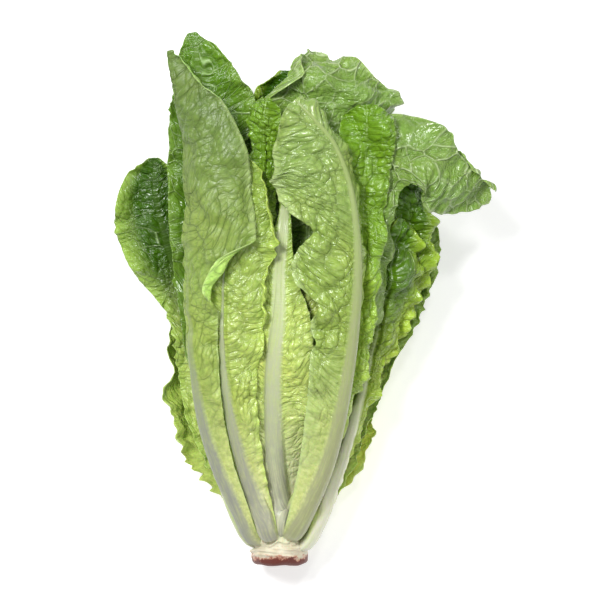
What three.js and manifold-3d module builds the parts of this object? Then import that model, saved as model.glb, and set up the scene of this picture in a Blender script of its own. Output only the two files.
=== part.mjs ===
// A head of romaine lettuce, cut at the stem and lying on its back, in millimetres.
// +Y runs from the cut stem to the leaf tips, +X to the right and +Z up. The origin is under the
// middle of the head, on the surface that it lies on.
import * as THREE from 'three';
import { mergeVertices } from 'three/addons/utils/BufferGeometryUtils.js';
import Module from 'manifold-3d';

// ---- Driving dimensions, mm
const BLADE = 0.9; // thickness of a blade
const STACK_GAP = 1.1; // clear height between leaves that lie on each other
const CLEAR = 0.3; // gap that pieces keep where one is fitted round another
const RIB_EDGE = 0.9; // half width of every rib at the leaf's tip
const STACKED_FROM = [24, 46]; // y from which leaves are stacked; nearer the stem they sit in rings
const CELL = 3; // pitch of the height maps that stack the leaves
const STEM_AXIS = [0, 22]; // x and z of the stem's middle at its cut end
const STEM_RISE = 0.28; // how far the stem's middle climbs for each mm along it
// The stem's radius along it: the cut stump, a step under the leaf bases and a core that tapers away.
const STEM_PROFILE = [[0, 16.8], [1.2, 18.6], [5, 19.2], [9, 18.8], [11.4, 17.4], [12.2, 14.9],
  [22, 14.2], [30, 12.6], [31.5, 10.6], [42, 7.5], [50, 3]];
const STEM_SIDES = 24;

// ---- Leaves. Each station, from base to tip, holds the midrib's x, y and z, the direction in degrees
// that the outer face looks in, from +X towards +Z, the half widths left and right, and how far
// each half curls towards the inner face by its margin, in degrees.
// lay: 'top' leaves keep clear of the leaves above them and 'bottom' leaves of those below them.
// 'floor' leaves are where their stations say, on the surface, and 'between' leaves keep clear of both.
const LEAVES = [];
const PLAIN = { rows: 19, rib: 9, deep: 6, waves: 5, ruffle: 3, seed: 1 };
function leaf(name, lay, detail, stations) {
  LEAVES.push({ name, lay, ...PLAIN, ...detail, stations });
}
leaf('leaf_left_tall', 'top', { seed: 6, rib: 6.2, waves: 5, ruffle: 3, colour: 0x8da75b }, [
  [-16.2, 15, 33.6, 150, 5.4, 5.4, 20, 20], [-25, 34, 43, 144, 7, 8, 30, 30],
  [-38, 62, 54, 136, 7, 11, 30, 40], [-48, 94, 66, 136, 7, 15, 20, 50], [-54, 130, 77, 140, 7, 18, 20, 60],
  [-57, 168, 85, 144, 6, 23, 10, 70], [-58, 206, 90, 148, 5, 48, 0, 86],
  [-58.5, 244, 93, 146, 4, 47, 0, 84], [-60.5, 278, 95, 140, 3.5, 37, 0, 66],
  [-65, 304, 96, 132, 3, 20, 0, 40], [-67.5, 321, 95, 126, 2.5, 8, 0, 20],
  [-68.5, 327, 95, 125, 1.5, 2, 0, 20],
]);
leaf('leaf_middle_right', 'top', { seed: 7, rib: 7, waves: 5, ruffle: 4, colour: 0x96b05c }, [
  [7.5, 19, 42.8, 65, 5.8, 5.8, 20, 20], [15.5, 34, 51, 65, 10, 8, 30, 40], [28.5, 64, 65, 65, 17, 9, 30, 60],
  [37.5, 98, 79, 65, 22, 9, 30, 70], [43.5, 132, 89, 62, 26, 10, 36, 80], [47, 162, 97, 60, 30, 11, 44, 80],
  [48.5, 190, 103, 59, 44, 11, 58, 80], [47.5, 216, 107, 60, 36, 11, 52, 80],
  [43, 244, 111, 62, 47, 11, 54, 80], [34, 267, 115, 66, 46, 11, 50, 70],
  [22, 282, 117, 74, 36, 11, 40, 60], [13.5, 291, 117, 80, 22, 9, 30, 40], [10, 295, 116, 80, 5, 4, 10, 10],
]);
leaf('leaf_right_upright', 'top', { seed: 12, rib: 7, waves: 7, ruffle: 3, colour: 0x84a748 }, [
  [9, 36, 40, 52, 6, 6, 20, 20], [24, 62, 54, 58, 9, 9, 20, 20], [37, 96, 68, 62, 11, 11, 20, 20],
  [46, 134, 82, 66, 12, 13, 20, 20], [51, 174, 92, 72, 12, 13, 20, 20], [53, 212, 95, 76, 13, 14, 20, 10],
  [54, 246, 97, 80, 16, 16, 20, 10], [55, 272, 99, 84, 19, 18, 10, 0], [55, 286, 99, 86, 16, 15, 0, 0],
  [55, 293, 98, 86, 6, 6, 0, 0],
]);
leaf('leaf_middle_left', 'top', { seed: 8, rib: 6.6, waves: 7, ruffle: 4, colour: 0x96b254 }, [
  [-7, 18.5, 43.4, 108, 5.8, 5.8, 20, 20], [-12, 35, 50, 106, 8.5, 8, 30, 20],
  [-21, 60, 60, 106, 9, 12, 30, 30], [-30, 93, 72, 103, 12, 18, 30, 32],
  [-35, 126, 82, 99, 16, 24, 30, 32], [-36, 160, 90, 98, 18, 30, 30, 28],
  [-34, 196, 95, 97, 18, 34, 30, 20], [-29, 228, 99, 96, 14, 30, 20, 10],
  [-24, 252, 100, 94, 7, 16, 10, 10], [-22, 260, 100, 94, 2, 3, 0, 0],
]);
leaf('leaf_middle', 'top', { seed: 13, rib: 7.6, deep: 7, waves: 7, ruffle: 3, colour: 0xaebd65 }, [
  [0.5, 22, 42, 91, 5.5, 6, 10, 10], [-0.5, 38, 46.5, 92, 10.5, 12.5, 20, 10],
  [-3, 62, 56, 95, 12, 20, 20, 0],
  [-4, 92, 69, 98, 14, 26, 20, -10], [-4, 126, 81, 98, 18, 28, 20, -10], [-1, 158, 88, 97, 16, 22, 20, 0],
  [0, 188, 90, 94, 12, 11, 20, 10], [2, 212, 91, 90, 7, 6, 20, 10], [3, 226, 88, 90, 4, 4, 20, 10],
  [3, 232, 85, 90, 3, 3, 10, 10],
]);
leaf('leaf_inner_curled', 'top', { seed: 17, rib: 4, deep: 2.5, waves: 8, ruffle: 4, rows: 14,
  colour: 0x80a040 }, [
  [-4, 78, 50, 92, 4, 4, 20, 20], [-6, 108, 62, 94, 7, 7, 30, 20], [-8, 144, 73, 96, 9, 8, 40, 20],
  [-10, 182, 83, 98, 10, 9, 40, 20], [-11, 220, 91, 100, 10, 9, 50, 10], [-11, 250, 98, 100, 10, 10, 50, 0],
  [-10, 275, 102, 98, 11, 12, 40, -20], [-9, 290, 103, 96, 9, 10, 20, -20], [-8, 297, 101, 96, 3, 3, 0, 0],
]);
leaf('leaf_top_right', 'top', { seed: 14, deep: 4.5, rib: 6.5, waves: 6, ruffle: 4, colour: 0x7f9f52 }, [
  [25, 80, 48, 62, 4.5, 4.5, 10, 10], [35, 102, 57, 62, 8, 8, 20, 20], [44, 126, 66, 62, 11, 11, 20, 30],
  [53, 158, 76, 66, 15, 14, 20, 40], [60, 194, 86, 70, 19, 14, 20, 40], [64, 230, 95, 76, 24, 12, 20, 20],
  [74, 252, 101, 82, 36, 14, 20, 10], [91, 258, 101, 88, 28, 20, 10, 10], [108, 253, 94, 86, 16, 31, 10, 20],
  [121, 244, 84, 84, 12, 27, 10, 20], [130, 237, 74, 82, 7, 13, 10, 10], [133, 234, 70, 82, 2, 3, 0, 0],
]);
leaf('heart_right', 'top', { seed: 19, rib: 5, deep: 2.5, waves: 6, ruffle: 4, rows: 14,
  colour: 0xb4c26e }, [
  [12, 91, 54, 80, 4, 4, 10, 10], [18, 110, 63, 80, 10, 7, 20, 20], [24, 132, 72, 80, 16, 11, 20, 30],
  [29, 156, 79, 80, 18, 13, 20, 30], [31, 182, 83, 80, 16, 13, 20, 30], [33, 205, 84, 80, 12, 10, 20, 24],
  [34, 222, 84, 82, 8, 7, 20, 20], [35, 232, 84, 84, 4, 4, 10, 10],
]);
leaf('leaf_top_middle', 'top', { seed: 15, deep: 4, rib: 6.5, waves: 6, ruffle: 6, colour: 0x89a35c }, [
  [9, 86, 44, 88, 5, 5, 20, 20], [11, 106, 50, 88, 12, 12, 30, 30], [14, 132, 58, 88, 18, 18, 40, 40],
  [16, 160, 66, 88, 26, 28, 45, 45], [18, 200, 68, 88, 32, 36, 45, 45], [20, 238, 74, 86, 40, 44, 40, 40],
  [21, 270, 88, 86, 48, 57, 30, 40], [22, 296, 98, 90, 46, 58, 20, 35], [22, 313, 96, 92, 30, 42, 20, 25],
  [22, 324, 86, 92, 10, 17, 10, 15], [22, 328, 80, 92, 4, 5, 10, 10],
]);
leaf('leaf_right_low', 'top', { seed: 9, rib: 8, waves: 7, ruffle: 5, colour: 0x78983e }, [
  [15.2, 11, 32.4, 25, 5.6, 5.6, 20, 20], [26.5, 34, 40, 28, 7.5, 7, 10, 10],
  [38, 62, 47, 34, 11, 9, 10, 0],
  [48, 92, 55, 44, 14, 11, 10, 0], [55, 120, 61, 52, 18, 13, 10, 0], [61, 148, 67, 58, 20, 19, 10, 0],
  [68, 174, 72, 62, 20, 24, 10, 10], [73, 200, 76, 66, 17, 20, 10, 10], [76, 216, 77, 68, 9, 12, 0, 0],
  [77, 222, 77, 68, 3, 3, 0, 0],
]);
leaf('leaf_right_hanging', 'top', { seed: 11, rib: 7, waves: 6, ruffle: 6, colour: 0x6c8e36 }, [
  [12.5, 38, 34.5, 4, 6, 6, 10, 10], [30, 66, 42, 24, 10, 10, 10, 10], [48, 104, 50, 44, 14, 12, 10, 0],
  [62, 144, 57, 56, 18, 18, 10, 0], [74, 180, 64, 62, 22, 24, 10, 0], [82, 206, 69, 66, 22, 20, 10, 0],
  [84, 230, 74, 68, 18, 14, 0, 0], [83, 250, 78, 70, 12, 9, 0, 0], [82, 258, 79, 70, 3, 3, 0, 0],
]);
leaf('leaf_left_upper', 'top', { seed: 10, rib: 7, waves: 6, ruffle: 3, colour: 0x6b8c3b }, [
  [-12, 38, 34, 200, 6, 6, 10, 10], [-25, 70, 42, 230, 11, 11, 10, 10], [-36, 110, 50, 252, 18, 18, 10, 10],
  [-43, 160, 58, 262, 24, 22, 10, 10], [-47, 210, 66, 266, 29, 24, 10, 10],
  [-49, 255, 74, 268, 33, 22, 20, 10], [-50, 292, 81, 268, 36, 21, 30, 20],
  [-52, 321, 87, 268, 20, 14, 20, 20], [-54, 334, 88, 268, 8, 7, 10, 10], [-55, 339, 88, 268, 3, 3, 10, 10],
]);
leaf('leaf_back_left', 'floor', { seed: 2, rib: 9, waves: 7, ruffle: 4, colour: 0x8fb04c }, [
  [-11.5, 13, 13.5, 226, 5.4, 5.4, 10, 10], [-21, 36, 11.5, 240, 8, 15, 20, 10],
  [-31, 70, 7.5, 252, 16, 37, 20, 30], [-37, 104, 4.8, 256, 24, 46, 16, 50],
  [-41, 146, 3.5, 260, 30, 46, 16, 68], [-44, 190, 2.8, 262, 32, 44, 16, 68],
  [-48, 226, 6, 262, 28, 36, 16, 56], [-54, 254, 13, 262, 16, 18, 10, 20],
  [-57, 266, 18, 260, 4, 4, 10, 10],
]);
leaf('leaf_back_right', 'floor', { seed: 3, rib: 9, waves: 7, ruffle: 4, colour: 0x86a848 }, [
  [9.5, 13, 11.5, 304, 5.4, 5.4, 10, 10], [20, 36, 10.5, 294, 12, 8, 10, 20],
  [32, 70, 7.5, 288, 28, 16, 30, 20], [40, 106, 4.8, 284, 31, 24, 50, 16],
  [48, 148, 3.5, 280, 38, 30, 68, 16], [55, 190, 2.8, 278, 42, 32, 68, 16],
  [62, 222, 6, 278, 34, 28, 56, 16], [68, 246, 13, 278, 16, 16, 20, 10], [71, 257, 18, 280, 4, 4, 10, 10],
]);
leaf('leaf_back_middle', 'bottom', { seed: 1, rib: 11, waves: 6, ruffle: 4, colour: 0x7c9c46 }, [
  [-1, 13, 8.5, 265, 6, 6, 20, 20], [0, 40, 8, 268, 11, 11, 20, 20], [2, 88, 6, 270, 22, 22, 24, 24],
  [5, 138, 4.4, 270, 34, 34, 30, 30], [7, 188, 3.4, 270, 42, 42, 40, 40], [9, 232, 7, 270, 42, 42, 44, 44],
  [10, 268, 17, 268, 30, 30, 40, 40], [10, 290, 27, 266, 14, 14, 20, 20], [10, 298, 32, 266, 4, 4, 10, 10],
]);
leaf('leaf_left_spread', 'bottom', { seed: 4, rib: 8, waves: 6, ruffle: 6, colour: 0x7c9f41 }, [
  [-17, 13, 25, 182, 5, 5, 10, 10], [-28.5, 36, 29, 200, 7.5, 7.5, 10, 0],
  [-38, 66, 32, 226, 14, 13, 10, -10], [-45, 98, 36, 240, 18, 17, 10, -10],
  [-51, 134, 40, 248, 22, 18, 10, -10], [-58, 168, 44, 252, 26, 18, 10, -10],
  [-69, 196, 49, 254, 30, 26, 10, -16], [-76, 220, 53, 256, 31, 31, 10, -16],
  [-80, 242, 58, 260, 24, 26, 0, -10], [-80, 257, 61, 264, 9, 12, 0, 0], [-80, 261, 62, 264, 3, 4, 0, 0],
]);
leaf('leaf_right_spread', 'bottom', { seed: 5, rib: 8, waves: 6, ruffle: 6, colour: 0x789c40 }, [
  [16.8, 13, 23.5, 350, 5, 5, 10, 10], [28, 36, 26, 334, 7.5, 7.5, 0, 10],
  [40, 68, 28, 312, 12, 12, -10, 10], [51, 102, 30, 298, 14, 18, 10, 10],
  [61, 136, 33, 290, 16, 24, 10, 10], [72, 168, 35, 286, 22, 28, 0, 10],
  [81, 196, 38, 284, 24, 28, -16, 10], [87, 216, 42, 282, 17, 18, -10, 10], [90, 228, 45, 278, 4, 5, 0, 0],
]);
leaf('leaf_lower_left', 'bottom', { seed: 20, rib: 7, waves: 6, ruffle: 6, rows: 14, colour: 0x83a54a }, [
  [-10, 46, 25, 216, 5, 5, 10, 10], [-19, 74, 26, 236, 11, 12, 20, 20], [-26, 110, 28, 248, 20, 20, 30, 30],
  [-30, 150, 31, 254, 26, 26, 34, 34], [-33, 190, 36, 256, 30, 30, 34, 34],
  [-36, 228, 43, 258, 28, 28, 30, 30], [-40, 262, 52, 260, 20, 20, 20, 20],
  [-42, 284, 59, 262, 5, 5, 10, 10],
]);
leaf('leaf_lower_right', 'bottom', { seed: 21, rib: 7, waves: 6, ruffle: 6, rows: 14, colour: 0x7fa146 }, [
  [11, 46, 23, 324, 5, 5, 10, 10], [21, 74, 24, 304, 12, 11, 20, 20], [31, 110, 26, 292, 20, 20, 30, 30],
  [39, 150, 29, 286, 26, 26, 34, 34], [46, 190, 34, 284, 30, 30, 34, 34],
  [52, 226, 41, 282, 27, 27, 30, 30], [58, 256, 50, 280, 18, 18, 20, 20], [61, 274, 57, 278, 5, 5, 10, 10],
]);
leaf('leaf_top_back', 'bottom', { seed: 16, rib: 7, waves: 6, ruffle: 5, rows: 14, colour: 0x6f9240 }, [
  [3, 74, 28, 272, 5, 5, 20, 20], [5, 98, 28, 272, 12, 12, 30, 30], [7, 128, 31, 272, 22, 22, 40, 40],
  [8, 162, 36, 272, 30, 30, 44, 44], [8, 202, 42, 272, 36, 36, 44, 44], [7, 240, 50, 272, 40, 40, 40, 40],
  [6, 275, 60, 270, 38, 40, 36, 36], [6, 302, 68, 268, 26, 28, 30, 30], [6, 316, 72, 266, 6, 6, 10, 10],
]);
leaf('heart_left', 'between', { seed: 18, rib: 4, deep: 2.5, waves: 6, ruffle: 4, rows: 14,
  colour: 0xb2c06a }, [
  [-8, 98, 41, 100, 4.5, 4.5, 10, 10], [-8, 117, 48, 100, 11, 12, 30, 30], [-6, 140, 58, 100, 18, 19, 40, 40],
  [-6, 170, 64, 98, 20, 21, 44, 44], [-6, 200, 69, 96, 20, 21, 44, 44], [-6, 230, 75, 96, 18, 19, 40, 40],
  [-6, 255, 80, 96, 13, 14, 30, 30], [-6, 275, 83, 96, 4, 4, 10, 10],
]);

// ---- Curves
const clamp = THREE.MathUtils.clamp;
const rad = THREE.MathUtils.degToRad;
const step = (a, b, x) => THREE.MathUtils.smoothstep(x, a, b);

// A smooth curve through the stations, t from 0 to their count less one.
function track(stations, t) {
  const last = stations.length - 1;
  const i = Math.min(Math.floor(clamp(t, 0, last)), last - 1);
  const f = clamp(t, 0, last) - i;
  const [a, b, c, d] = [i - 1, i, i + 1, i + 2].map((k) => stations[clamp(k, 0, last)]);
  return b.map((_, k) => 0.5 * (2 * b[k] + (c[k] - a[k]) * f
    + (2 * a[k] - 5 * b[k] + 4 * c[k] - d[k]) * f * f + (3 * b[k] - a[k] - 3 * c[k] + d[k]) * f * f * f));
}

const ribHalf = (u, one) => one.rib * 0.92 * (1 - u) ** 1.15 + RIB_EDGE;

// The slow uneven wave of a margin, from -1 to 1.
function wave(one, u, side) {
  const phase = one.seed * 1.7 + (side > 0 ? 0 : 2.3);
  const turn = 2 * Math.PI * u;
  return 0.62 * Math.sin(one.waves * turn + phase + 0.9 * Math.sin(1.3 * turn + phase))
    + 0.38 * Math.sin(one.waves * 1.83 * turn + 1.9 * phase);
}

// The point of a leaf's inner face at u along it and s across it, -1 to 1, with the outward normal.
function place(one, u, s) {
  const n = one.stations.length - 1;
  const [x, y, z, face, left, right, curlLeft, curlRight] = track(one.stations, u * n);
  const ahead = track(one.stations, clamp(u + 1e-3, 0, 1) * n);
  const behind = track(one.stations, clamp(u - 1e-3, 0, 1) * n);
  const along = new THREE.Vector3(...ahead).sub(new THREE.Vector3(...behind)).normalize();
  const out = new THREE.Vector3(Math.cos(rad(face)), 0, Math.sin(rad(face)));
  out.addScaledVector(along, -out.dot(along)).normalize();
  const across = new THREE.Vector3().crossVectors(along, out);
  const side = s < 0 ? -1 : 1;
  const wide = Math.max(side < 0 ? left : right, 0.6);
  const curl = rad(side < 0 ? curlLeft : curlRight);
  const t = Math.abs(s);
  const flat = Math.abs(curl) < 1e-4;
  const sideways = flat ? wide * t : (wide * Math.sin(curl * t)) / curl;
  const inward = flat ? 0 : (wide * (1 - Math.cos(curl * t))) / curl;
  const normal = out.clone().multiplyScalar(Math.cos(curl * t))
    .addScaledVector(across, side * Math.sin(curl * t));
  const fall = step(0.35, 1, t) * step(0.12, 0.35, u) * (0.35 + 0.65 * step(0.3, 0.75, u));
  const sway = one.ruffle * fall * Math.min(1, wide / 25) * wave(one, u, side);
  const point = new THREE.Vector3(x, y, z).addScaledVector(across, side * sideways)
    .addScaledVector(out, -inward).addScaledVector(normal, sway);
  return { point, normal, arc: t * wide };
}

// Thickness of the blade with its rib, at arc from the midrib.
function thickness(one, u, arc) {
  const x = arc / ribHalf(u, one);
  return BLADE + (one.deep * (1 - u) ** 1.3 + 0.7) * Math.sqrt(Math.max(0, 1 - x * x));
}

// Where the columns of the grid lie at u: three on the rib, the rest shared out over each half blade.
function columns(one, u) {
  const [left, right] = track(one.stations, u * (one.stations.length - 1)).slice(4, 6);
  const half = (wide, side) => {
    const edge = Math.min(0.55, ribHalf(u, one) / Math.max(wide, 0.6));
    return [0.68 * edge, edge, ...one.share.map((f) => edge + (1 - edge) * f)].map((s) => side * s);
  };
  return [...half(left, -1).reverse(), 0, ...half(right, 1)];
}

// The leaf as a grid of points, with a tooth on every other row of its margin.
function gridOf(one) {
  one.share = one.rows > 16 ? [0.36, 0.7, 1] : [0.5, 1];
  const grid = [];
  for (let i = 0; i < one.rows; i += 1) {
    const u = i / (one.rows - 1);
    const notch = 1 - 0.075 * (i % 2) * step(0.1, 0.3, u) * (1 - step(0.9, 1, u));
    grid.push(columns(one, u).map((s) => {
      const at = place(one, u, Math.abs(s) > 0.999 ? s * notch : s);
      return { ...at, thick: thickness(one, u, at.arc) };
    }));
  }
  return grid;
}

// ---- Height maps: what is lowest among the top leaves and highest among the bottom ones
const MAP = { x: -141, y: -18, nx: 104, ny: 126 };
const above = new Float64Array(MAP.nx * MAP.ny).fill(1e9);
const below = new Float64Array(MAP.nx * MAP.ny).fill(-STACK_GAP);
const cellOf = (x, y) => clamp(Math.floor((x - MAP.x) / CELL), 1, MAP.nx - 2) * MAP.ny
  + clamp(Math.floor((y - MAP.y) / CELL), 1, MAP.ny - 2);
function around(map, x, y, pick) {
  const c = cellOf(x, y);
  return pick(map[c], map[c - 1], map[c + 1], map[c - MAP.ny], map[c + MAP.ny],
    map[c - MAP.ny - 1], map[c - MAP.ny + 1], map[c + MAP.ny - 1], map[c + MAP.ny + 1]);
}

// Each value becomes what pick makes of it and its four neighbours.
function spread(rows, pick) {
  return rows.map((row, i) => row.map((v, j) => pick([v, (rows[i - 1] ?? row)[j], (rows[i + 1] ?? row)[j],
    row[j - 1] ?? v, row[j + 1] ?? v])));
}
const least = (v) => Math.min(...v);
const most = (v) => Math.max(...v);
const mean = (v) => (2 * v[0] + v[1] + v[2] + v[3] + v[4]) / 6;

// Lowers or raises the grid until it is clear of the leaves already stacked, then adds it to the maps.
function stack(one, grid) {
  const low = (g) => g.point.z + Math.min(0, g.normal.z * g.thick);
  const high = (g) => g.point.z + Math.max(0, g.normal.z * g.thick);
  const gap = one.lay === 'floor' ? 0 : STACK_GAP;
  let shift = grid.map((row) => row.map((g) => {
    const down = Math.min(0, around(above, g.point.x, g.point.y, Math.min) - gap - high(g));
    const up = Math.max(0, around(below, g.point.x, g.point.y, Math.max) + gap - low(g));
    return one.lay === 'bottom' ? up : one.lay === 'floor' ? 0 : down;
  }));
  shift = spread(shift, one.lay === 'bottom' ? most : least);
  for (let k = 0; k < 4; k += 1) shift = spread(shift, mean);
  if (one.lay === 'between') {
    const up = grid.map((row, i) => row.map((g, j) => Math.max(0,
      around(below, g.point.x, g.point.y, Math.max) + gap - low(g) - shift[i][j])));
    const lift = spread(spread(spread(up, most), mean), mean);
    shift = shift.map((row, i) => row.map((v, j) => v + lift[i][j]));
  }
  grid.forEach((row, i) => row.forEach((g, j) => {
    g.point.z += shift[i][j] * step(...STACKED_FROM, g.point.y);
  }));
  const map = one.lay === 'bottom' || one.lay === 'floor' ? below : above;
  const [end, pick] = map === below ? [high, Math.max] : [low, Math.min];
  for (let i = 0; i + 1 < grid.length; i += 1) for (let j = 0; j + 1 < grid[i].length; j += 1)
    for (let a = 0; a <= 1; a += 0.125) for (let b = 0; b <= 1; b += 0.2) {
      const mix = (f) => (f(grid[i][j]) * (1 - a) + f(grid[i + 1][j]) * a) * (1 - b)
        + (f(grid[i][j + 1]) * (1 - a) + f(grid[i + 1][j + 1]) * a) * b;
      const c = cellOf(mix((g) => g.point.x), mix((g) => g.point.y));
      map[c] = pick(map[c], mix(end));
    }
}

// ---- Solids
const wasm = await Module();
wasm.setup();

function solid(points, faces) {
  const shape = new THREE.BufferGeometry();
  shape.setAttribute('position', new THREE.Float32BufferAttribute(points.flat(), 3));
  shape.setIndex(faces.flat());
  const merged = mergeVertices(shape, 1e-3);
  return new wasm.Manifold(new wasm.Mesh({ numProp: 3, vertProperties: merged.attributes.position.array,
    triVerts: new Uint32Array(merged.index.array) }));
}

// The closed leaf: the grid, its outer face and a rim, larger all round by grow. Nothing is under z = 0.
function leafSolid(grid, grow = 0) {
  const nu = grid.length, nv = grid[0].length;
  const turned = grid.map((row, i) => row.map((g, j) => {
    const du = grid[Math.min(i + 1, nu - 1)][j].point.clone().sub(grid[Math.max(i - 1, 0)][j].point);
    const dv = row[Math.min(j + 1, nv - 1)].point.clone().sub(row[Math.max(j - 1, 0)].point);
    const out = dv.clone().cross(du).normalize();
    if (out.dot(g.normal) < 0) out.negate();
    return { out, du: du.normalize(), dv: dv.normalize() };
  }));
  const points = [];
  for (const outer of [false, true]) grid.forEach((row, i) => row.forEach((g, j) => {
    const t = turned[i][j];
    const p = g.point.clone().addScaledVector(t.out, outer ? g.thick + grow : -grow);
    if (grow && (i === 0 || i === nu - 1)) p.addScaledVector(t.du, i ? grow : -grow);
    if (grow && (j === 0 || j === nv - 1)) p.addScaledVector(t.dv, j ? grow : -grow);
    points.push([p.x, p.y, Math.max(p.z, outer ? 0 : BLADE) - grow * (grow && p.z < BLADE ? 1 : 0)]);
  }));
  const faces = [], off = nu * nv;
  const rim = [];
  for (let i = 0; i + 1 < nu; i += 1) for (let j = 0; j + 1 < nv; j += 1) {
    const [a, b, c, d] = [i * nv + j, i * nv + j + 1, (i + 1) * nv + j + 1, (i + 1) * nv + j];
    faces.push([a, b, c], [a, c, d], [off + a, off + c, off + b], [off + a, off + d, off + c]);
  }
  for (let i = 0; i < nu; i += 1) rim.push(i * nv);
  for (let j = 1; j < nv; j += 1) rim.push((nu - 1) * nv + j);
  for (let i = nu - 2; i >= 0; i -= 1) rim.push(i * nv + nv - 1);
  for (let j = nv - 2; j > 0; j -= 1) rim.push(j);
  rim.forEach((a, k) => {
    const b = rim[(k + 1) % rim.length];
    faces.push([a, b, off + b], [a, off + b, off + a]);
  });
  const made = solid(points, faces);
  return made.volume() > 0 ? made : solid(points, faces.map(([a, b, c]) => [a, c, b]));
}

// The stump and its core: rings round a rising axis, uneven as the scars of the lost leaves leave it.
function stemSolid() {
  const points = [], faces = [];
  STEM_PROFILE.forEach(([y, r], i) => {
    for (let k = 0; k < STEM_SIDES; k += 1) {
      const a = (2 * Math.PI * k) / STEM_SIDES;
      const rough = r * (0.9725 - 0.015 * Math.sin(3 * a + i) - 0.0125 * Math.sin(7 * a + 2.1 * i));
      const z = STEM_AXIS[1] + STEM_RISE * y + rough * Math.sin(a);
      points.push([STEM_AXIS[0] + rough * Math.cos(a), y, z]);
    }
  });
  const last = STEM_PROFILE.length - 1;
  points.push([STEM_AXIS[0], -0.4, STEM_AXIS[1]], [STEM_AXIS[0], STEM_PROFILE[last][0] + 0.5,
    STEM_AXIS[1] + STEM_RISE * STEM_PROFILE[last][0]]);
  for (let k = 0; k < STEM_SIDES; k += 1) {
    const m = (k + 1) % STEM_SIDES;
    for (let i = 0; i < last; i += 1) {
      const [a, b] = [i * STEM_SIDES, (i + 1) * STEM_SIDES];
      faces.push([a + k, b + k, a + m], [a + m, b + k, b + m]);
    }
    faces.push([k, m, points.length - 2],
      [last * STEM_SIDES + m, last * STEM_SIDES + k, points.length - 1]);
  }
  const made = solid(points, faces);
  return made.volume() > 0 ? made : solid(points, faces.map(([a, b, c]) => [a, c, b]));
}

// Largest piece of a solid that a cut has left in several.
const whole = (made) => made.decompose().sort((a, b) => b.volume() - a.volume())[0].simplify(0.03);

// ---- The head
const lettuce = new THREE.Group();
lettuce.name = 'romaine_lettuce_head';
function addMesh(name, made, colour, roughness) {
  const { vertProperties, triVerts } = made.getMesh();
  const shape = new THREE.BufferGeometry();
  shape.setAttribute('position', new THREE.BufferAttribute(new Float32Array(vertProperties), 3));
  shape.setIndex(new THREE.BufferAttribute(new Uint32Array(triVerts), 1));
  shape.computeVertexNormals();
  const paint = new THREE.MeshStandardMaterial({ color: colour, roughness, metalness: 0 });
  const mesh = new THREE.Mesh(shape, paint);
  mesh.name = name;
  lettuce.add(mesh);
}

const grown = [];
for (const one of LEAVES) {
  const grid = gridOf(one);
  stack(one, grid);
  let made = leafSolid(grid);
  for (const other of grown) {
    const common = made.intersect(other.fat);
    if (common.volume() > 1e-4) made = whole(made.subtract(other.fat).subtract(other.made));
  }
  grown.push({ one, made, fat: leafSolid(grid, CLEAR) });
}
let stem = stemSolid();
for (const { fat, made } of grown) stem = stem.subtract(fat).subtract(made);
addMesh('stem', whole(stem), 0xd6cfb2, 0.6);
for (const { one, made } of grown) addMesh(one.name, made, one.colour, 0.5);

// The origin is under the middle of the head's box.
const middle = new THREE.Box3().setFromObject(lettuce).getCenter(new THREE.Vector3());
for (const mesh of lettuce.children) mesh.position.set(-middle.x, -middle.y, 0);

export default lettuce;
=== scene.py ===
import math

import bpy
import numpy as np
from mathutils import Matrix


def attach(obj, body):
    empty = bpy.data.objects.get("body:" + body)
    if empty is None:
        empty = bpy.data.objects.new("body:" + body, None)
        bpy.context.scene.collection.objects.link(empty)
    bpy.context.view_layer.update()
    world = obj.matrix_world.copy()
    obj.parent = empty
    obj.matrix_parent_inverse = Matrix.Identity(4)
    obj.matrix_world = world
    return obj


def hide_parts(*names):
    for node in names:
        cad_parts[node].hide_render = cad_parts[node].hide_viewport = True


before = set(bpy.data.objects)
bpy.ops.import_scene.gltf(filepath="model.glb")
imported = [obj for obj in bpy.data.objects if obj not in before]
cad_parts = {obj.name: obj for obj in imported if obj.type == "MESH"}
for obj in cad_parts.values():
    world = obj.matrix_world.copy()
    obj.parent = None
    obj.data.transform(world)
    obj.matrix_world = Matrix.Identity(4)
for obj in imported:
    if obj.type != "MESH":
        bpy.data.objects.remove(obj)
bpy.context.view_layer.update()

# ----------------
# The tall leaf on the left, the topmost one of the head. A romaine leaf is one blade of soft
# puckered tissue on a thick pale rib, and it has grown from the stem at the bottom of the head.
# Each leaf is a sheet laid along its midrib, and every leaf after this one lies under it.
HEAD_MIDDLE = np.array([14.075, 169.596, 0.0])  # mm, the middle of the head where stations have x = y = 0
BLADE = 0.9  # mm, what a blade takes up in the stack
THIN = 0.5  # mm, thickness of the blade itself
RIB_EDGE = 0.9  # mm, half width of every rib at the leaf's tip
NARROWEST = 0.6  # mm, least half width of a blade

# A leaf's stations follow its midrib: x, y and z, the way its outer face looks, in degrees, then the
# half widths of the blade and how far it curls, left and right. The looks below are what a leaf has
# where its own section says nothing else: how many rows its coarse sheet has and how close the points
# of its fine one lie, how wide and deep its rib is, how its margin is waved, toothed, lobed, torn or
# turned, and how high, in mm, each kind of relief stands.
PLAIN_LEAF = {
    "rows": 19, "pitch": (1.4, 1.7), "rib": 7, "deep": 6, "taper": 1.35, "rib_until": 1.2,
    "foot": 0.74, "dip": (0.3, 0.045), "smooth_to": (0.06, 0.32),
    "waves": 6, "ruffle": 4, "frill": 1.5, "tooth": 1.6, "lobes": 0.0, "torn": (), "turned": (),
    "puff": 1.5, "fold": 0.5, "crumple": 1.6, "cell": (11.0, 13.0), "sweep": 0.45,
}


def ease(low, high, x):
    t = np.clip((x - low) / (high - low), 0, 1)
    return t * t * (3 - 2 * t)


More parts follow.
